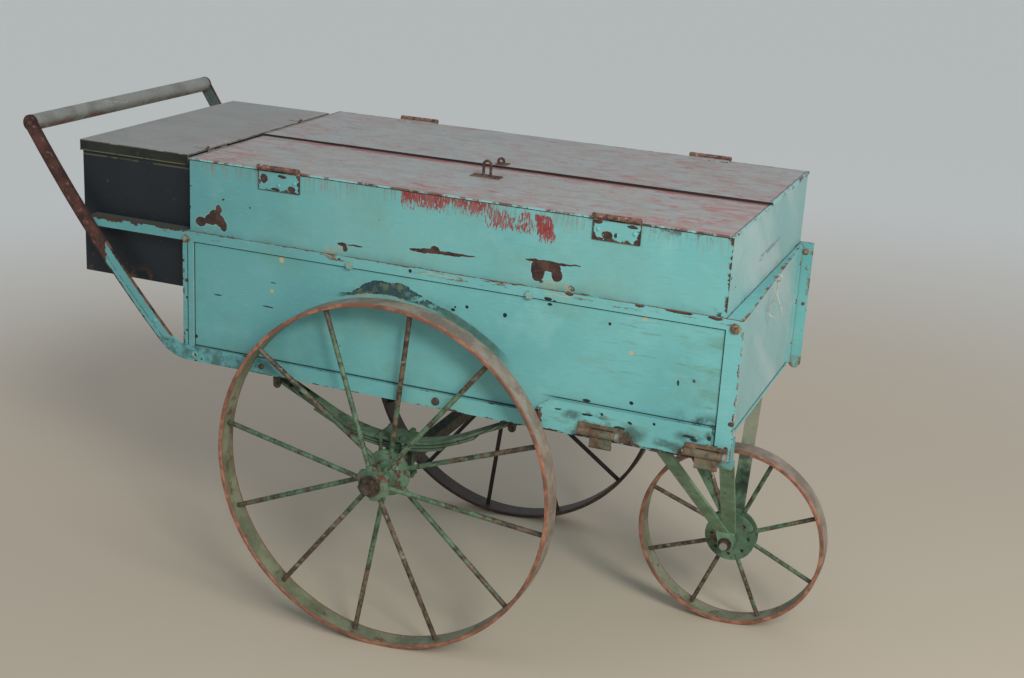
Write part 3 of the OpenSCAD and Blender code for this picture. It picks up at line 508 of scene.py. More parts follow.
def mat_lower():
    """Lower box: rubbed by the near wheel, small holes, grime low down, dark joints, a painted shadow
    under the ledge.
    """
    s = painted("lower_paint")
    x, _, z = s.xyz()
    near = near_side(s)
    front_fade_and_sheen(s, 0.42)
    # where the near wheel has rubbed: a dark ragged patch on top, a thin soft band to the front
    zz = s.sub(z, REAR_R)
    rr = s.hypot(x, zz)
    n = s.noise(61, 16, 5, 0.7)
    n2 = s.noise(63, 60, 4, 0.7)
    n3 = s.noise(65, 30, 5, 0.72, stretch=(0.6, 1, 1.6))
    hump = s.mul(s.span(x, -0.1, -0.04, 0.085, 0.0), 0.019)
    outer = s.add(0.367, hump, s.sway(n3, 0.03))
    inner = s.add(s.mul(s.step(x, 0.03, -0.02), 0.005), 0.354, s.sway(n2, 0.01))
    patch = s.mul(s.step(s.sub(outer, rr), -0.0004, 0.001), s.step(s.sub(rr, inner), -0.0004, 0.0012))
    patch = s.mul(patch, near, s.span(x, -0.135, -0.095, 0.15, 0.095))
    ragged = s.mixf(s.step(x, 0.0, 0.06), s.step(n3, 0.33, 0.4), s.step(n2, 0.41, 0.48))
    patch = s.mul(patch, ragged)
    deep = s.grade(n2, 0.46, 0.66, lin(44, 68, 76), lin(96, 112, 86))
    black = s.mul(s.step(s.sub(outer, rr), 0.0045, 0.0015), s.step(n, 0.4, 0.48))
    s.layer(patch, s.mixc(black, deep, lin(26, 30, 30)), 0.75, -0.3)
    edge_in = s.band(s.sub(rr, inner), -0.001, 0.0012, 0.0012)
    edge_in = s.mul(edge_in, near, s.span(x, -0.11, -0.08, 0.09, 0.03))
    s.tint(s.mul(edge_in, s.step(n2, 0.44, 0.52)), lin(150, 152, 118), 0.75)
    soft_band = s.band(s.add(rr, s.sway(n, 0.006)), 0.357, 0.0062, 0.0035)
    soft_band = s.mul(soft_band, near, s.span(x, 0.07, 0.115, 0.25, 0.2))
    s.tint(soft_band, s.grade(n2, 0.42, 0.6, lin(62, 96, 90), lin(88, 112, 92)), 0.85)
    halo = s.mul(s.band(rr, 0.362, 0.012, 0.02), near, s.step(n, 0.4, 0.7))
    halo = s.mul(halo, s.span(x, -0.2, -0.08, 0.22, 0.1))
    s.tint(halo, lin(84, 130, 118), 0.4)
    # small holes, pale dabs and short scratches
    w = s.wander(0.0012, 90, 2)
    holes = [(429, 732, 3, 3), (481, 589, 3.8, 3.6), (565, 643.5, 2.4, 5.5), (593.5, 652.5, 3, 3.6),
             (225, 715, 4, 4.5), (148, 718, 3.5, 3.5), (-391, 655.3, 9, 1.3), (-277, 649, 13, 1.3),
             (-265, 700, 6, 1), (120, 708.5, 4.5, 3), (124, 714.5, 2, 2.2), (312, 750, 4.6, 2.75),
             (-443, 560, 4, 4), (500, 566, 10, 1.6), (395, 578, 8, 3)]
    hole = s.step(s.side_spots(LOWER_Y, holes, w, deep=0.01), 1.05, 0.92)
    s.layer(s.mul(hole, near), lin(34, 36, 34), 0.85, -0.5)
    dabs = [(494, 753.3, 4.5, 4.5), (473, 684.4, 4.2, 4.2), (-247, 749.5, 5.5, 5.5), (-268, 683, 4, 4)]
    dab = s.step(s.side_spots(LOWER_Y, dabs, w, deep=0.01), 1.1, 0.8)
    s.layer(s.mul(dab, near), lin(186, 168, 132), 0.7)
    # dust and green-brown grime low down and towards the front edge
    low = s.mul(s.step(z, 0.6, 0.535), s.cloud(71, 0.42, 0.72, 9, 4, 0.6))
    s.tint(low, lin(92, 110, 92), 0.3)
    soft = s.mul(s.step(x, 0.5, 0.63), s.cloud(73, 0.38, 0.7, 14, 4, 0.65, (1, 1, 2)))
    s.tint(s.mul(soft, near), lin(100, 140, 120), 0.55)
    dark = s.mul(s.step(z, 0.604, 0.575), s.step(x, 0.55, 0.6), s.step(n, 0.42, 0.56))
    s.tint(s.mul(dark, near), lin(44, 54, 48), 0.85)
    streak = s.cloud(77, 0.56, 0.68, 12, 5, 0.7, (1, 1, 9))
    s.tint(s.mul(streak, near, s.step(x, 0.34, 0.46)), lin(98, 134, 112), 0.6)
    chip(s, 9, specks(s, 0.25, 5))
    # dark joints; the line at the ledge foot is a painted shadow under the ledge, which stands out
    seams_and_shadow_lines(s, [(z, LEDGE_FOOT_Z, 0.0011, near), (x, POST_FRONT_X, 0.0011, near),
              (x, POST_REAR_X, 0.001, near),
              (z, RAIL_Z + 0.0012, 0.0013, s.mul(near, s.step(x, 0.32, 0.3))),
              (z, SKIRT_TOP_Z + 0.0012, 0.001, s.mul(near, s.step(x, 0.3, 0.34))),
              (z, 0.5172, 0.0012, s.facing(1, 0, 0))], 3)
    return s.done(0.35)


def mat_frame():
    """Angles and rails: the same paint, with edges worn through."""
    s = painted("frame_paint")
    x, y, z = s.xyz()
    near = s.facing(0, -1, 0)
    top = s.facing(0, 0, 1)
    front_fade_and_sheen(s, 0.4)
    # ledge: rust where it meets the upper box and along the edges
    fold = s.mul(top, s.step(y, -0.3148, -0.3158))
    n = s.noise(81, 30, 5, 0.7)
    s.layer(s.mul(fold, s.step(n, 0.34, 0.46)), s.mixc(n, RUST_BROWN, lin(150, 116, 84)), 0.85)
    chip(s, 11, near, wear_line(s, z, LEDGE_Z, 0.0042, 81, 0.48))
    s.layer(s.mul(near, wear_line(s, z, 0.7775, 0.0036, 82, 0.54)), lin(172, 142, 104), 0.8)
    worn = s.noise(88, 34, 5, 0.72, stretch=(0.5, 1, 2.4))
    zone = s.mul(s.band(z, 0.7715, 0.0035, 0.004), s.cloud(90, 0.44, 0.56, 6, 3, 0.6))
    bare = s.grade(worn, 0.6, 0.66, lin(104, 82, 64), lin(158, 138, 108))
    s.layer(s.mul(near, zone, s.step(worn, 0.54, 0.6)), bare, 0.8)
    holes = [(309, 761.2, 8, 3.4), (322, 758.5, 3.5, 2.2), (30.5, 771.2, 3.5, 3.5),
             (-120, 770.5, 3, 2)]
    hole = s.side_spots(RAIL_Y, holes, s.wander(0.0015, 90, 7))
    s.layer(s.mul(s.step(hole, 1.05, 0.9), near), lin(36, 38, 38), 0.85, -0.4)
    flakes = [(483, 776.5, 9, 3.6), (556, 776.5, 26, 3.4), (349, 777, 8, 4), (622, 776, 14, 3.4)]
    brown = s.side_spots(RAIL_Y, flakes, s.wander(0.0022, 80, 9))
    chip(s, 25, s.step(brown, 1.05, 0.9), near)
    curl = s.band(s.sub(z, s.mul(s.noise(87, 24, 3, 0.6), 0.016)), 0.764, 0.0007, 0.0006)
    curled = s.most(s.span(x, 0.05, 0.062, 0.14, 0.128), s.span(x, 0.295, 0.31, 0.36, 0.345))
    curl = s.mul(curl, near, curled)
    s.tint(curl, lin(176, 172, 132), 0.85)
    chip(s, 12, near, wear_line(s, z, 0.7585, 0.0018, 83, 0.6))
    rim_x = s.sub(0.673, s.mul(s.add(y, 0.29), 0.0414))
    outer = s.sub(rim_x, x)
    reach = s.mul(s.step(n, 0.47, 0.62), 0.008)
    rim = s.mul(top, s.step(x, 0.64, 0.641), s.step(s.sub(reach, outer), -0.0005, 0.0005))
    s.layer(rim, s.mixc(n, lin(150, 96, 62), lin(104, 76, 62)), 0.85)
    seams_and_shadow_lines(s, [(x, 0.6408, 0.0009, top)], 5, 0.8)
    behind = s.mul(top, s.step(x, -0.458, -0.466))
    s.layer(s.mul(behind, 0.9), s.mixc(n, lin(40, 42, 34), lin(84, 64, 48)), 0.8)
    rear_face = s.mul(near, s.step(x, -0.458, -0.47))
    rusted = s.step(s.add(s.mul(s.step(z, 0.765, LEDGE_Z), 0.28), n), 0.7, 0.74)
    s.layer(s.mul(rear_face, rusted), s.mixc(n, lin(36, 34, 28), lin(92, 62, 46)), 0.8)
    # corner posts
    low = s.step(z, 0.7595, 0.757)
    edge = s.mul(s.step(x, 0.662, 0.675), low, near)
    m = s.noise(85, 62, 5, 0.72)
    chip(s, 13, s.step(s.add(s.mul(edge, 0.34), m), 0.82, 0.86))
    s.layer(s.mul(s.step(x, 0.671, 0.6745), low, near, s.step(m, 0.5, 0.6)), lin(176, 164, 152), 0.75)
    seams_and_shadow_lines(s, [(y, 0.3158, 0.0011, s.mul(s.facing(1, 0, 0), s.step(x, 0.65, 0.648)))], 7, 0.95)
    far_rust = s.mul(s.step(y, 0.3, 0.31), s.step(x, 0.66, 0.669), s.step(m, 0.52, 0.6))
    s.layer(far_rust, lin(120, 96, 84), 0.8)
    foot = s.mul(s.step(z, 0.535, 0.505), s.step(y, 0.3, 0.31), s.step(m, 0.42, 0.55))
    s.layer(foot, lin(126, 92, 72), 0.8)
    strip = s.mul(s.step(x, -0.44, -0.445), low, near)
    seams_and_shadow_lines(s, [(x, -0.4585, 0.001, s.mul(strip, s.step(x, -0.471, -0.469)))], 9, 0.85)
    chip(s, 15, strip, s.step(x, -0.464, -0.469), s.step(m, 0.5, 0.56))
    dabs = [(-461, 676, 4, 4), (-461, 640, 3, 3), (-461, 571, 3, 3), (669, 585, 6, 5),
            (664, 536, 4, 5)]
    dab = s.side_spots(RAIL_Y, dabs, s.wander(0.0015, 90, 3))
    chip(s, 14, s.step(dab, 1.05, 0.9), near)
    scuff = s.mul(s.cloud(93, 0.56, 0.62, 60, 5, 0.75, (1, 1, 2)), s.cloud(95, 0.56, 0.66, 5, 3, 0.6))
    s.layer(s.mul(scuff, s.inv(top)), lin(150, 156, 132), 0.8)
    chip(s, 16, specks(s, 0.6, 7, 60))
    s.tint(s.mul(s.cloud(97, 0.5, 0.75, 10, 4, 0.6), s.step(z, 0.57, 0.53)), GRIME, 0.4)
    return s.done(0.35)


def mat_skirt():
    """Loose patch plate: turquoise gone ragged, dark and rusty around the hanging brackets."""
    s = painted("skirt_paint")
    x, _, z = s.xyz()
    n = s.noise(321, 26, 5, 0.72)
    m = s.noise(323, 70, 5, 0.7)
    around = s.most(s.span(x, 0.365, 0.4, 0.52, 0.475), s.step(x, 0.555, 0.6))
    low = s.step(z, 0.562, 0.53)
    heat = s.add(s.mul(around, low, 0.3), s.mul(s.step(z, 0.535, 0.514), 0.12))
    s.tint(s.step(s.add(heat, n), 0.66, 0.8), lin(96, 116, 100), 0.7)
    burnt = s.mixc(m, lin(52, 46, 40), lin(128, 92, 70))
    s.layer(s.step(s.add(heat, n), 0.79, 0.83), burnt, 0.85, -0.3)
    s.layer(s.step(s.add(s.mul(heat, 0.7), m), 0.8, 0.84), lin(40, 52, 50), 0.85, -0.3)
    clouds = [(493, 533, 30, 20), (598, 548, 30, 13), (640, 555, 22, 12), (372, 548, 22, 12),
              (425, 556, 30, 8), (560, 528, 40, 10)]
    smoke = s.side_spots(SKIRT_Y, clouds, s.wander(0.012, 30, 8))
    s.tint(s.mul(s.step(smoke, 1.2, 0.35), s.step(n, 0.32, 0.5)), lin(54, 66, 56), 0.72)
    grain = s.noise(333, 14, 5, 0.7, stretch=(1.4, 1, 7))
    s.tint(s.step(grain, 0.52, 0.64), lin(104, 140, 120), 0.5)
    left = s.step(x, 0.325, 0.306)
    ragged = s.step(s.add(s.mul(left, 0.3), m), 0.74, 0.78)
    s.layer(ragged, s.mixc(n, lin(60, 46, 38), lin(118, 86, 66)), 0.85)
    dabs = [(402, 555, 12, 2.8), (465.5, 541, 12, 3.5), (484, 554.5, 4.5, 3.5), (596, 549.5, 13, 3.5),
            (605.5, 544.5, 7, 3), (634, 553.5, 5, 4.5), (345, 556, 8, 1.8)]
    dab = s.side_spots(SKIRT_Y, dabs, s.wander(0.0028, 70, 4))
    s.layer(s.step(dab, 1.0, 0.85), s.grade(m, 0.5, 0.6, lin(30, 52, 54), lin(58, 46, 40)), 0.85, -0.4)
    chip(s, 21, wear_line(s, z, SKIRT_TOP_Z, 0.0022, 327, 0.5))
    chip(s, 22, wear_line(s, z, SKIRT_FOOT_Z, 0.004, 329, 0.42))
    s.layer(s.cloud(331, 0.69, 0.72, 80, 4, 0.7), lin(176, 152, 116), 0.8)
    return s.done(0.35)


def mat_arm(near):
    """Handle arms: dark edges, a worn bottom rail and brown upper ends."""
    s = painted("arm_paint_near" if near else "arm_paint_far")
    x, _, z = s.xyz()
    n = s.noise(101, 26, 5, 0.7)
    m = s.noise(102, 70, 5, 0.7)
    chip(s, 17, specks(s, 0.8, 9, 52))
    # distance across the bar, from the centre of its long curve; the bottom rail by height
    cx, cz, rad = ARM_CURVE
    ex, ez = s.sub(x, cx), s.sub(z, cz)
    across = s.sub(s.hypot(ex, ez), rad)
    upper = s.step(s.add(z, s.mul(x, -0.6)), 0.845, 0.855)
    border = s.mul(upper, s.step(s.add(s.abs(across), s.sway(m, 0.008)), 0.0118, 0.0128))
    s.layer(border, s.grade(n, 0.42, 0.58, lin(40, 40, 36), lin(118, 84, 66)), 0.85)
    inner = s.mul(upper, s.band(s.add(across, s.sway(n, 0.004)), 0.004, 0.0007, 0.0006))
    s.tint(s.mul(inner, s.step(m, 0.42, 0.5)), lin(70, 74, 66), 0.8)
    # wear along the bottom rail
    rail = s.step(z, 0.552, 0.545)
    chip(s, 18, rail, wear_line(s, z, RAIL_Z, 0.003, 103, 0.5))
    chip(s, 19, rail, wear_line(s, z, RAIL_FOOT_Z, 0.0055, 105, 0.45))
    s.tint(s.mul(rail, s.step(x, -0.22, -0.3), s.step(n, 0.42, 0.6)), lin(60, 86, 84), 0.75)
    low = s.mul(s.step(x, 0.27, 0.31), s.cloud(108, 0.42, 0.52, 20, 4, 0.7))
    chip(s, 24, low, s.step(z, 0.552, 0.54))
    if near:
        lim = s.add(0.708, s.sway(n, 0.05))
        up = s.step(s.sub(z, s.sub(lim, s.mul(across, 1.6))), -0.001, 0.001)
        brown = s.mixc(s.cloud(109, 0.35, 0.65, 30, 5, 0.65), lin(58, 38, 34), lin(92, 60, 52))
        brown = s.mixc(s.mul(s.cloud(110, 0.56, 0.7, 90, 4, 0.6), 0.85), brown, lin(128, 92, 78))
        brown = s.mixc(s.mul(s.step(s.abs(across), 0.0115, 0.014), 0.6), brown, lin(36, 28, 26))
        s.layer(up, brown, 0.8, -0.25)
    else:
        lim = s.add(0.885, s.sway(n, 0.3))
        s.layer(s.mul(s.step(s.sub(z, lim), -0.001, 0.002), 0.75), rusty(s, 4), 0.8)
    s.grit(0.25, 111, 120, 4, 0.6)
    return s.done(0.35)


def mat_lid(far=False, knuckles=False):
    """Grey top coat brushed thinly over red, along the length of the lid."""
    name = "lid_%s_%s" % ("far" if far else "near", "knuckles" if knuckles else "top")
    s = Shade(name, lin(153, 154, 148))
    x, y, _ = s.xyz()
    broad = s.noise(121 + far, 4, 4, 0.6)
    s.tint(s.step(broad, 0.4, 0.7), lin(166, 167, 161), 0.7)
    s.tint(s.cloud(123 + far, 0.45, 0.7, 11, 4, 0.6, (1, 2, 1)), lin(135, 136, 130), 0.6)
    st = s.noise(125 + far, 20, 6, 0.74, stretch=(1.2, 4, 1))
    st2 = s.noise(126 + far, 34, 4, 0.7, stretch=(0.8, 3, 1))
    patch = s.noise(127 + far, 3.6, 4, 0.6, stretch=(1, 1.6, 1))
    bias = s.add(s.mul(s.step(x, 0.0, 0.6), 0.07), s.mul(s.step(x, -0.26, -0.44), 0.08))
    if not far:
        bias = s.add(bias, s.mul(s.step(y, -0.2, -0.31), 0.04))
    f = s.add(s.mul(st, 0.8), s.mul(st2, 0.2), s.sway(patch, 0.4), bias)
    red = s.step(f, 0.56 if far else 0.54, 0.625)
    pink = s.grade(st, 0.46, 0.66, lin(164, 132, 124), lin(164, 92, 88))
    thin = s.noise(139 + far, 26, 6, 0.74, stretch=(1.0, 3.2, 1))
    s.tint(s.step(thin, 0.49, 0.6), lin(160, 134, 126), 0.6)
    s.tint(red, pink, 0.75 if far else 0.9)
    pale = s.step(s.add(st2, s.sway(patch, -0.3)), 0.6, 0.68)
    s.tint(pale, lin(176, 182, 178), 0.55)
    blotch = s.noise(142 + far, 22, 5, 0.72, stretch=(1, 2.2, 1))
    s.tint(s.step(blotch, 0.51, 0.55), lin(158, 166, 165), 0.7)
    if not far:
        gap = s.mul(s.step(y, -0.075, -0.034), s.step(x, -0.36, -0.3))
        gap = s.mul(gap, s.step(s.add(st, s.mul(s.step(y, -0.06, -0.032), 0.16)), 0.5, 0.58))
        s.tint(gap, lin(150, 70, 70), 0.85)
        # painted shadow on the near lid beside the gap, cast by the far lid's raised edge, stronger to
        # the front
        shade = s.mul(s.step(y, -0.0375, -0.0315), s.step(s.add(x, s.sway(st2, 0.3)), -0.38, 0.45))
        s.layer(s.mul(shade, 0.85), lin(34, 28, 26), 0.8)
    # dark greasy smears and worn spots
    s.tint(s.cloud(129 + far, 0.64, 0.72, 26, 5, 0.7), lin(100, 98, 94), 0.55)
    s.tint(s.cloud(131 + far, 0.6, 0.7, 180, 3, 0.6, (1, 4, 1)), lin(112, 108, 104), 0.5)
    # edges: a turquoise run along the outside, rust where it is rubbed
    side = s.abs(y)
    rag = s.sway(s.noise(132, 50, 4, 0.7), 0.003)
    rim = s.step(s.add(side, rag), 0.3152, 0.3158)
    s.layer(rim, s.mixc(s.cloud(133, 0.48, 0.58, 22, 4, 0.7), TURQ_PALE, lin(84, 64, 56)), 0.75)
    end = s.add(s.abs(s.sub(x, LID_MID_X)), rag)
    coat = s.grade(x, 0.0, 0.1, lin(128, 112, 106), TURQ_PALE)
    coat = s.mixc(s.cloud(134, 0.52, 0.6, 24, 4, 0.7), coat, lin(92, 66, 56))
    s.layer(s.step(end, 0.5462, LID_HALF), coat, 0.75)
    s.tint(s.band(end, 0.544, 0.0009, 0.0008), lin(56, 60, 58), 0.7)
    line = s.mul(s.step(side, 0.309, 0.3145), s.cloud(135, 0.5, 0.58, 34, 5, 0.7))
    s.layer(line, lin(116, 82, 72), 0.8)
    # painted shade: the faces in the gap between the lids nearly black
    inner = s.step(s.abs(s.sub(y, LID_GAP_Y)), 0.0022, 0.0018)
    s.layer(s.mul(inner, 0.95), lin(30, 24, 22), 0.85)
    if knuckles:
        iron = hinge_iron(s, s.noise(351, 70, 4, 0.7), 0.38, 0.6)
        s.layer(s.step(side, 0.3135, 0.3145), iron, 0.8)
        rim2 = s.cloud(355, 0.56, 0.6, 60, 4, 0.7)
        s.layer(s.mul(s.step(side, 0.2965, 0.2935), rim2), lin(112, 80, 68), 0.8)
    s.rough = s.mixf(s.step(broad, 0.3, 0.7), 0.42, 0.58)
    s.grit(2.4, 137, 4.5, 3, 0.5)
    s.bump(s.mul(st, 0.16))
    return s.done(0.4)


def mat_hinge_leaf():
    """Hinge leaf screwed to the box: painted over, rusting in from its outline."""
    s = painted("hinge_leaf")
    x, _, z = s.xyz()
    n = s.noise(361, 64, 5, 0.7)
    across = s.sub(s.abs(s.sub(x, HINGE_MID_X)), HINGE_OFF_X)
    edge = s.least(s.sub(HINGE_HALF, s.abs(across)), s.sub(z, HINGE_FOOT_Z))
    reach = s.add(0.0012, s.mul(s.step(n, 0.42, 0.66), 0.007))
    s.layer(s.step(s.sub(reach, edge), -0.0003, 0.0003), rusty(s, 31), 0.85, -0.2)
    w = s.wander(0.003, 80, 4)
    blobs = [(411.5, 895, 11, 8), (428, 897, 3, 4), (457, 915, 11, 3.5), (393, 917, 9, 4),
             (467, 888, 6, 6), (-287, 907, 8, 9.5), (-227, 892, 9, 7), (-262, 888, 10, 2.8),
             (-248, 914, 10, 3.5)]
    s.layer(s.step(s.side_spots(HINGE_Y, blobs, w, 0.15), 1.0, 0.9), rusty(s, 33), 0.85, -0.3)
    s.tint(s.cloud(363, 0.6, 0.68, 90, 4, 0.6), lin(150, 158, 140), 0.6)
    s.layer(s.step(z, 0.92, 0.921), hinge_iron(s, n, 0.36, 0.58), 0.8)
    return s.done(0.35)


def mat_locker_lid():
    """Locker lid: worn grey on top, olive on its lip."""
    s = Shade("locker_lid_paint", lin(140, 142, 136))
    x, _, z = s.xyz()
    s.tint(s.cloud(141, 0.4, 0.7, 5, 4, 0.6), lin(148, 149, 142), 0.7)
    s.tint(s.cloud(143, 0.5, 0.66, 9, 5, 0.7, (1.5, 7, 1)), lin(126, 127, 120), 0.6)
    s.tint(s.cloud(144, 0.56, 0.66, 40, 4, 0.7, (0.8, 5, 1)), lin(116, 114, 104), 0.5)
    s.tint(s.cloud(145, 0.6, 0.72, 160, 3, 0.6), lin(166, 164, 154), 0.35)
    pink = s.mul(s.step(x, -0.6, -0.478), s.cloud(146, 0.52, 0.6, 16, 5, 0.72, (1.5, 7, 1)))
    s.tint(pink, lin(158, 122, 114), 0.6)
    lip = s.step(z, 0.9247, 0.924)
    olive = s.mixc(s.cloud(147, 0.4, 0.7, 14, 4, 0.6), lin(26, 30, 24), lin(42, 46, 35))
    olive = s.mixc(s.mul(s.cloud(149, 0.6, 0.68, 60, 4, 0.7), 0.7), olive, lin(92, 66, 48))
    s.layer(s.mul(lip, s.inv(s.facing(1, 0, 0))), olive, 0.55)
    s.layer(s.mul(s.step(z, 0.9068, 0.9058), s.cloud(151, 0.34, 0.5, 40, 4, 0.6)), lin(104, 102, 72), 0.7)
    rubbed = s.mul(s.band(z, 0.925, 0.0006, 0.0006), s.inv(s.facing(0, 0, 1)))
    s.layer(s.mul(rubbed, s.cloud(152, 0.42, 0.52, 30, 4, 0.7)), lin(84, 80, 66), 0.7)
    s.rough = s.mixf(s.cloud(153, 0.3, 0.7, 6, 3, 0.5), 0.38, 0.55)
    s.grit(1.8, 155, 4, 3, 0.5)
    return s.done(0.4)


def mat_locker():
    """Locker: nearly black, rusting low down and at the back."""
    s = Shade("locker_body_paint", lin(24, 31, 35))
    x, y, z = s.xyz()
    s.tint(s.cloud(161, 0.4, 0.7, 5, 4, 0.6), lin(29, 37, 42), 0.7)
    s.tint(s.cloud(163, 0.5, 0.7, 10, 5, 0.7, (7, 7, 1)), lin(22, 27, 30), 0.6)
    low = s.mul(s.cloud(165, 0.5, 0.6, 14, 5, 0.7), s.step(z, 0.69, 0.652))
    back = s.mul(s.cloud(167, 0.61, 0.66, 20, 5, 0.7), s.step(x, -0.705, -0.722))
    s.layer(s.most(low, back), s.mixc(s.noise(169, 60, 4, 0.6), lin(52, 38, 32), lin(96, 66, 50)), 0.82)
    joint = s.mul(s.step(s.abs(y), 0.2885, 0.2895), s.step(z, 0.905, 0.898))
    joint = s.mul(joint, s.band(z, 0.8965, 0.001, 0.001), s.cloud(170, 0.36, 0.5, 30, 4, 0.6))
    s.tint(joint, lin(96, 96, 70), 0.7)
    s.layer(s.mul(s.cloud(171, 0.66, 0.7, 70, 4, 0.7), 0.7), lin(70, 64, 58), 0.7)
    s.rough = s.mixf(s.cloud(173, 0.3, 0.7, 6, 3, 0.5), 0.42, 0.6)
    s.grit(2.0, 175, 4.5, 3, 0.5)
    return s.done(0.4)


def mat_rust(name, light=False, seed=0.0):
    """Matt rust, brown, or lighter with traces of green."""
    s = Shade(name, RUST)
    a, b = (lin(82, 66, 52), lin(126, 104, 84)) if light else (RUST_BROWN, lin(112, 86, 72))
    s.colour = s.mixc(s.cloud(181 + seed, 0.35, 0.65, 40, 5, 0.65), a, b)
    s.tint(s.cloud(183 + seed, 0.54, 0.66, 120, 4, 0.6), lin(150, 108, 78), 0.35 if light else 0.55)
    s.tint(s.cloud(185 + seed, 0.55, 0.64, 56, 5, 0.7), lin(44, 36, 32), 0.75)
    if light:
        s.tint(s.cloud(186 + seed, 0.5, 0.62, 24, 4, 0.65), lin(92, 104, 88), 0.55)
    s.rough = s.mixf(s.noise(187, 60, 3, 0.6), 0.7, 0.9)
    s.grit(0.5, 189 + seed, 160, 5, 0.65)
    s.grit(0.6, 190 + seed, 40, 3, 0.6)
    return s.done(0.3)


def mat_bolt(name="fastener", dark=False):
    """Fasteners: cream and brown or nearly black, painted over where the paint still holds."""
    s = Shade(name, lin(120, 104, 84))
    x, _, _ = s.xyz()
    a, b = (lin(40, 34, 28), lin(84, 72, 56)) if dark else (lin(92, 72, 56), lin(164, 142, 110))
    s.colour = s.mixc(s.cloud(201, 0.35, 0.65, 90, 4, 0.65), a, b)
    if not dark:
        s.layer(s.cloud(203, 0.56, 0.64, 60, 4, 0.6), TURQ_DEEP, 0.55)
    s.layer(s.cloud(205, 0.6, 0.66, 110, 4, 0.6), RUST_DARK, 0.8)
    coated = s.step(x, -0.425, -0.43) if dark else s.span(x, -0.41, -0.39, 0.6, 0.58)
    n = s.noise(209, 70, 4, 0.7)
    coat = s.grade(n, 0.45, 0.6, TURQ, lin(132, 156, 138))
    s.layer(s.mul(coated, s.step(n, 0.42, 0.47)), coat, 0.6)
    s.rough = 0.6
    s.grit(0.3, 207, 260, 4, 0.6)
    return s.done(0.45)


def mat_green(name, dark, worn, seed=0.0, body=False, leaves=False):
    """Thin green paint over rusty steel."""
    s = Shade(name, GREEN, body=body)
    g1 = lin(70 - 30 * dark, 100 - 42 * dark, 76 - 32 * dark)
    g2 = lin(106 - 46 * dark, 138 - 62 * dark, 110 - 50 * dark)
    s.colour = s.mixc(s.cloud(211 + seed, 0.35, 0.68, 20, 5, 0.6), g1, g2)
    s.tint(s.cloud(213 + seed, 0.52, 0.68, 8, 4, 0.6), lin(112, 122, 100), 0.45)
    n = s.noise(215 + seed, 34, 5, 0.7)
    cut = 0.64 - 0.18 * worn
    brown = s.mixc(s.cloud(217 + seed, 0.4, 0.65, 80, 4, 0.6), lin(70, 52, 46), lin(120, 88, 70))
    s.layer(s.step(n, cut, cut + 0.035), brown, 0.8, -0.2)
    s.tint(s.cloud(219 + seed, 0.62, 0.68, 120, 4, 0.65), lin(40, 44, 40), 0.6)
    if leaves:
        x, _, z = s.xyz()
        rad = s.hypot(s.sub(x, SPRING_X), s.sub(z, SPRING_Z))
        gap = s.most(*[s.band(rad, r, 0.0007, 0.0005) for r in SPRING_JOINTS])
        s.tint(s.mul(gap, s.step(z, 0.404, 0.406)), lin(20, 24, 20), 0.9)
        shine = s.mul(s.band(rad, SPRING_SHINE, 0.001, 0.0008), s.cloud(224, 0.4, 0.6, 30, 4, 0.6))
        s.tint(shine, lin(128, 150, 124), 0.5)
    s.rough = s.mixf(s.noise(221, 30, 3, 0.6), 0.5, 0.75)
    s.grit(0.25, 223, 140, 4, 0.6)
    return s.done(0.4)


def mat_spokes(name, centre, radius, dark=False, seed=0.0):
    """Spokes: some green, some brown or rubbed to bare grey with painted glints, changing along their
    length.
    """
    s = Shade(name, GREEN, body=False)
    q = s.vec("SUBTRACT", s.obj, tuple(centre))
    x, _, z = s.xyz(q)
    ang = s.math("ARCTAN2", z, x)
    rad = s.hypot(x, z)
    # one number per spoke and along it
    idx = s.math("ROUND", s.mul(s.sub(ang, SPOKE_TURN), SPOKE_COUNT / math.tau))
    lane = s.comb(s.mul(idx, 7.31), rad, s.mul(idx, 2.77))
    per = s.noise(231 + seed, 0.9, 0, 0.5, at=s.comb(s.mul(idx, 3.7), s.mul(idx, 1.9), 0.0))
    n = s.noise(233 + seed, 22, 5, 0.7, at=lane)
    fine = s.noise(235 + seed, 60, 5, 0.7)
    # dark: the far wheel, dark brown, partly its own colour and partly painted shade
    if dark:
        s.colour = s.grade(fine, 0.4, 0.65, lin(34, 26, 22), lin(56, 44, 36))
        s.tint(s.step(n, 0.58, 0.66), lin(48, 54, 42), 0.5)
    else:
        base = s.grade(fine, 0.36, 0.64, lin(60, 84, 62), lin(96, 122, 94))
        brown = s.grade(fine, 0.36, 0.64, lin(52, 42, 34), lin(112, 96, 76))
        share = s.add(n, s.sway(per, 0.6), s.mul(s.sub(s.math("DIVIDE", rad, radius), 0.55), 0.24))
        if radius < 0.3:
            share = s.sub(s.add(share, 0.02), s.mul(s.math("DIVIDE", x, rad), 0.22))
        s.colour = s.grade(share, 0.44, 0.5, base, brown)
        s.tint(s.cloud(237 + seed, 0.54, 0.6, 60, 5, 0.75), lin(44, 38, 32), 0.85)
        # bare grey steel where rubbed, with a painted glint on it
        rubbed_glint = s.mul(s.step(share, 0.54, 0.62), s.cloud(238 + seed, 0.56, 0.63, 46, 4, 0.7))
        s.layer(s.mul(rubbed_glint, 0.8), lin(150, 146, 130), 0.45, metal=0.3)
        chipped = s.mul(s.cloud(239 + seed, 0.56, 0.62, 34, 4, 0.7), s.step(share, 0.46, 0.4))
        s.tint(chipped, lin(70, 54, 44), 0.85)
        outer = s.mul(s.step(rad, radius * 0.78, radius * 0.96), s.step(fine, 0.34, 0.48))
        s.tint(outer, lin(82, 66, 54), 0.6)
    s.rough = s.mixf(fine, 0.42, 0.72)
    s.bump(s.mul(fine, 0.35))
    return s.done(0.45)


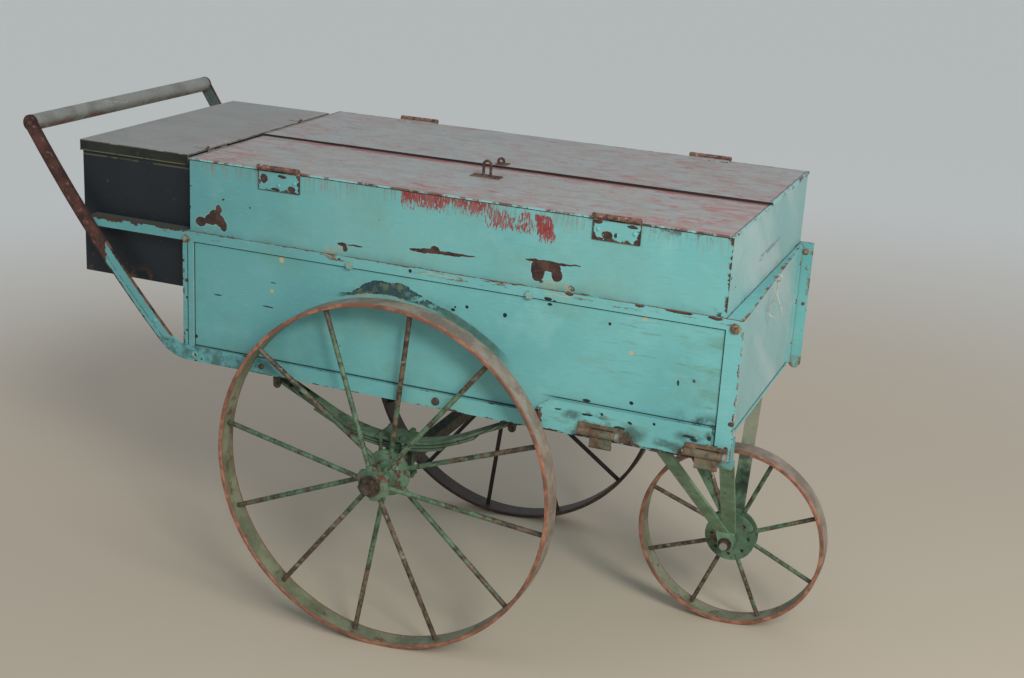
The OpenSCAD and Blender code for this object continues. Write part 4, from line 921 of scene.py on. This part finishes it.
def mat_rim(name, centre, radius, width, dark=0.0, seed=0.0):
    """Tyre band: dusty tread, copper-brown edges, green patina inside."""
    s = Shade(name, GREEN, body=False)
    q = s.vec("SUBTRACT", s.obj, tuple(centre))
    x, y, z = s.xyz(q)
    rad = s.hypot(x, z)
    ang = s.math("ARCTAN2", z, x)
    around = s.comb(s.mul(ang, radius), y, rad)
    n = s.noise(241 + seed, 16, 5, 0.65, at=around)
    fine = s.noise(243 + seed, 90, 5, 0.65, at=around, stretch=(0.5, 1, 1))
    # dark darkens the band, for the far wheel: partly its own dark paint, partly painted shade
    k = 1.0 - dark
    far = 0.82 if dark else 1.0

    def tone(r, g, b, f=1.0):
        return lin(r * k, g * k * f, b * k * f * f)

    inside = s.grade(n, 0.36, 0.62, tone(98, 104, 80, far), tone(130, 134, 108, far))
    inside = s.mixc(s.cloud(245 + seed, 0.56, 0.64, 30, 5, 0.7, at=around), inside, tone(104, 72, 58))
    tread = s.grade(n, 0.38, 0.64, tone(116, 104, 92, far), tone(146, 136, 122, far))
    tread = s.grade(fine, 0.58, 0.68, tread, tone(138, 96, 76))
    dust = s.mul(s.cloud(249 + seed, 0.64, 0.7, 140, 3, 0.6, at=around), 0.7)
    tread = s.mixc(dust, tread, tone(178, 172, 158))
    edge = s.grade(fine, 0.42, 0.62, tone(124, 84, 66), tone(164, 114, 90))
    edge = s.mixc(s.mul(s.step(n, 0.5, 0.62), 0.7), edge, tone(96, 68, 56))
    ay = s.abs(y)
    hem = s.mul(s.step(ay, width / 2 - 0.0065, width / 2 - 0.0035), s.step(fine, 0.4, 0.52))
    inside = s.mixc(hem, inside, lin(128 * k, 84 * k * far, 62 * k * far))
    s.colour = s.grade(rad, radius - 0.006, radius - 0.0035, inside, tread)
    side = s.step(ay, width / 2 - 0.0042, width / 2 - 0.0022)
    s.colour = s.mixc(s.mul(side, s.step(rad, radius - 0.0098, radius - 0.0078)), s.colour, edge)
    s.rough = s.mixf(fine, 0.45, 0.72)
    s.bump(s.mul(fine, 0.22))
    s.grit(0.5, 251, 40, 4, 0.6, at=around)
    return s.done(0.45)


def mat_grip():
    """Grip: dull bare pipe, rusty underneath."""
    s = Shade("grip_steel", lin(138, 140, 132))
    _, _, z = s.xyz()
    s.tint(s.cloud(261, 0.42, 0.66, 12, 5, 0.65, (1, 1.5, 1)), lin(114, 115, 107), 0.8)
    s.tint(s.cloud(263, 0.55, 0.66, 70, 5, 0.7, (1, 0.4, 1)), lin(162, 164, 156), 0.6)
    under = s.step(z, 0.956, 0.94)
    rust = s.mul(under, s.cloud(265, 0.44, 0.56, 16, 5, 0.7, (1, 0.6, 1)))
    s.layer(rust, s.mixc(s.noise(267, 60, 4, 0.6), lin(96, 66, 56), lin(134, 96, 80)), 0.75)
    s.tint(s.cloud(269, 0.62, 0.68, 46, 5, 0.75), lin(84, 78, 72), 0.7)
    s.rough = s.mixf(s.noise(271, 50, 4, 0.6), 0.42, 0.62)
    s.metal = 0.25
    s.grit(0.4, 273, 120, 5, 0.65)
    return s.done(0.5)


def mat_bare(name, colour):
    """Bare steel, slightly dull."""
    s = Shade(name, lin(*colour))
    s.tint(s.cloud(281, 0.5, 0.66, 90, 4, 0.65), lin(96, 90, 82), 0.6)
    s.metal = 0.5
    s.rough = s.mixf(s.noise(283, 60, 3, 0.6), 0.35, 0.6)
    s.grit(0.15, 285, 200, 3, 0.6)
    return s.done(0.5)


def mat_fork():
    """Fork bars: green low down; near the box dusty, and darker from painted shade; turquoise on the
    corner.
    """
    s = Shade("fork_paint", GREEN)
    x, y, z = s.xyz()
    a = s.noise(291, 24, 5, 0.6)
    s.colour = s.grade(a, 0.36, 0.66, lin(92, 122, 96), lin(122, 154, 124))
    s.tint(s.cloud(293, 0.48, 0.64, 7, 4, 0.6), lin(118, 132, 108), 0.25)
    far = s.step(y, 0.0, 0.05)
    s.tint(s.mul(far, s.step(z, 0.3, 0.4)), lin(146, 140, 122), 0.75)
    s.tint(s.mul(far, s.step(z, 0.385, 0.35), s.step(a, 0.4, 0.55)), lin(34, 44, 34), 0.8)
    n = s.noise(295, 30, 5, 0.7)
    s.layer(s.step(n, 0.62, 0.66), s.mixc(a, lin(76, 62, 50), lin(116, 96, 78)), 0.8)
    s.tint(s.cloud(296, 0.6, 0.66, 110, 4, 0.7), lin(52, 62, 50), 0.6)
    lim = s.add(0.497, s.sway(n, 0.06))
    up = s.mul(s.step(s.sub(z, lim), -0.002, 0.002), s.step(x, 0.645, 0.649))
    s.layer(s.mul(up, s.step(y, 0.0, -0.1)), s.mixc(a, TURQ_DEEP, TURQ), 0.55)
    # painted shade: the near bar darker towards its top, under the box
    s.tint(s.mul(s.step(z, 0.45, 0.51), s.inv(far)), lin(60, 72, 58), 0.35)
    s.rough = s.mixf(a, 0.5, 0.72)
    s.grit(0.3, 297, 150, 4, 0.6)
    return s.done(0.4)


# ---- materials on the pieces
NEAR_C, FAR_C = REAR_C + Vector((0, -TRACK, 0)), REAR_C + Vector((0, TRACK, 0))
LOOKS = [  # each material and the pieces it is for
    (mat_upper(), "upper_box"),
    (mat_lower(), "lower_box floor_sheet"),
    (mat_frame(),
     "mid_rail_near mid_rail_far mid_rail_front mid_rail_rear corner_angle_front_near "
     "corner_angle_front_far corner_angle_rear_near corner_angle_rear_far front_sill"),
    (mat_arm(True), "handle_arm_near arm_rivets"),
    (mat_arm(False), "handle_arm_far"),
    (mat_lid(), "lid_near"),
    (mat_lid(far=True), "lid_far"),
    (mat_locker_lid(), "back_lid back_hinge_leaves back_lid_knuckles"),
    (mat_locker(), "back_box"),
    (mat_skirt(), "skirt_plate"),
    (mat_hinge_leaf(), "lid_hinge_leaves hinge_screws"),
    (mat_lid(knuckles=True), "lid_near_knuckles"),
    (mat_lid(far=True, knuckles=True), "lid_far_knuckles"),
    (mat_rust("rust_brown"),
     "lid_hinge_pins lid_near_straps staple lid_far_straps lock_eye back_hinge_pins"),
    (mat_bolt("dark_fastener", dark=True),
     "bottom_bolts front_axle_nuts spring_hangers rear_axle_nuts"),
    (mat_rust("bracket_rust", light=True, seed=4),
     "bracket_plates bracket_leaf_rear bracket_leaf_front"),
    (mat_bolt(), "rail_bolts corner_rivets"),
    (mat_green("spring_green", dark=0.45, worn=0.30, seed=5, body=True, leaves=True),
     "leaf_springs spring_clamps"),
    (mat_green("hub_green", dark=0.05, worn=0.62, seed=9), "rear_hub_near"),
    (mat_green("front_hub_green", dark=0.2, worn=0.4, seed=13), "front_hub"),
    (mat_fork(), "fork_near fork_far"),
    (mat_grip(), "grip_bar"),
    (mat_bare("bare_steel", (146, 146, 140)), "bracket_pins front_axle"),
    (mat_bare("wire_steel", (196, 196, 188)), "wire_clip"),
    (mat_rim("tyre_near", NEAR_C, REAR_R, TYRE_W), "rear_rim_near"),
    # the far rear wheel darker: partly its own dark paint, partly painted shade
    (mat_rim("tyre_far", FAR_C, REAR_R, TYRE_W, dark=0.52, seed=3), "rear_rim_far"),
    (mat_rim("tyre_front", FRONT_C, FRONT_R, FRONT_TYRE_W, seed=6), "front_rim"),
    (mat_spokes("spokes_near", REAR_C, REAR_R), "rear_spokes_near"),
    (mat_spokes("spokes_far", REAR_C, REAR_R, dark=True, seed=3), "rear_spokes_far"),
    (mat_spokes("spokes_front", FRONT_C, FRONT_R, seed=6), "front_spokes"),
    (mat_bolt("axle_dark", dark=True), "rear_axle rear_hub_far"),
]
for material, pieces in LOOKS:
    for piece in pieces.split():
        for slot in NODES[piece].material_slots:
            slot.material = material


def put(name, data):
    """A new object of the scene."""
    o = bpy.data.objects.new(name, data)
    bpy.context.scene.collection.objects.link(o)
    return o


# the springs are drawn by a copy of their mesh, baked in place; the piece itself is hidden
bows = put("spring_bows", NODES["leaf_springs"].data.copy())
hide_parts("leaf_springs")
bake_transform(bows)

# ---- stage, light and camera
WARM = (1.0, 0.97, 0.92)
SKY, SKY_STRENGTH = (0.86, 0.91, 1.0, 1), 0.52
KEY_FROM = (0.62, -0.62, 0.50)  # direction of the key light
BOX_AT, BOX_AIM = (1.85, -1.65, 1.75), (0.25, -0.1, 0.55)
SENSOR_MM, FOCAL_PX, IMAGE_W = 36.0, 1557.44, 1024.0
CAM_AZ, CAM_EL = math.radians(21.7243), math.radians(16.7682)
CAM_AT = (1.28621, -2.89245, 1.49187)  # from the rear axle, on the ground


def aim(o, towards, axis):
    """Turns an object so that its own axis looks towards a direction."""
    o.rotation_mode = "QUATERNION"
    o.rotation_quaternion = towards.to_track_quat(axis, "Y")


def floor_material():
    s = Shade("stage_floor", lin(176, 168, 156), body=False)
    x, y, _ = s.xyz()
    s.colour = s.grade(s.hypot(x, y), 1.3, 4.5, lin(196, 184, 164), lin(224, 226, 221))
    s.rough = 0.85
    return s.done(0.2)


me = bpy.data.meshes.new("floor")
bm = bmesh.new()
bmesh.ops.create_grid(bm, x_segments=1, y_segments=1, size=30)
bm.to_mesh(me)
bm.free()
floor = put("floor", me)
floor.data.materials.append(floor_material())

world = bpy.data.worlds.new("studio")
bpy.context.scene.world = world
world.use_nodes = True
world.node_tree.nodes["Background"].inputs[0].default_value = SKY
world.node_tree.nodes["Background"].inputs[1].default_value = SKY_STRENGTH

key = bpy.data.lights.new("key", "SUN")
key.energy, key.angle, key.color = 1.0, math.radians(12), WARM
aim(put("key", key), Vector(KEY_FROM), "Z")

# a big soft box close by on the right, so light falls off towards the handle
box = bpy.data.lights.new("soft_box", "AREA")
box.shape, box.size, box.energy, box.color = "SQUARE", 0.9, 26, WARM
bo = put("soft_box", box)
bo.location = BOX_AT
aim(bo, Vector(BOX_AT) - Vector(BOX_AIM), "Z")

cam = bpy.data.cameras.new("camera")
cam.sensor_width = SENSOR_MM
cam.lens = SENSOR_MM * FOCAL_PX / IMAGE_W
cam.clip_start, cam.clip_end = 0.05, 200
co = put("camera", cam)
back = Vector((math.sin(CAM_AZ) * math.cos(CAM_EL), -math.cos(CAM_AZ) * math.cos(CAM_EL),
               math.sin(CAM_EL)))
co.location = Vector(CAM_AT) - Vector((MID_X, 0, 0))
aim(co, -back, "-Z")
bpy.context.scene.camera = co

bpy.context.scene.view_settings.view_transform = "Standard"

bpy.context.view_layer.update()
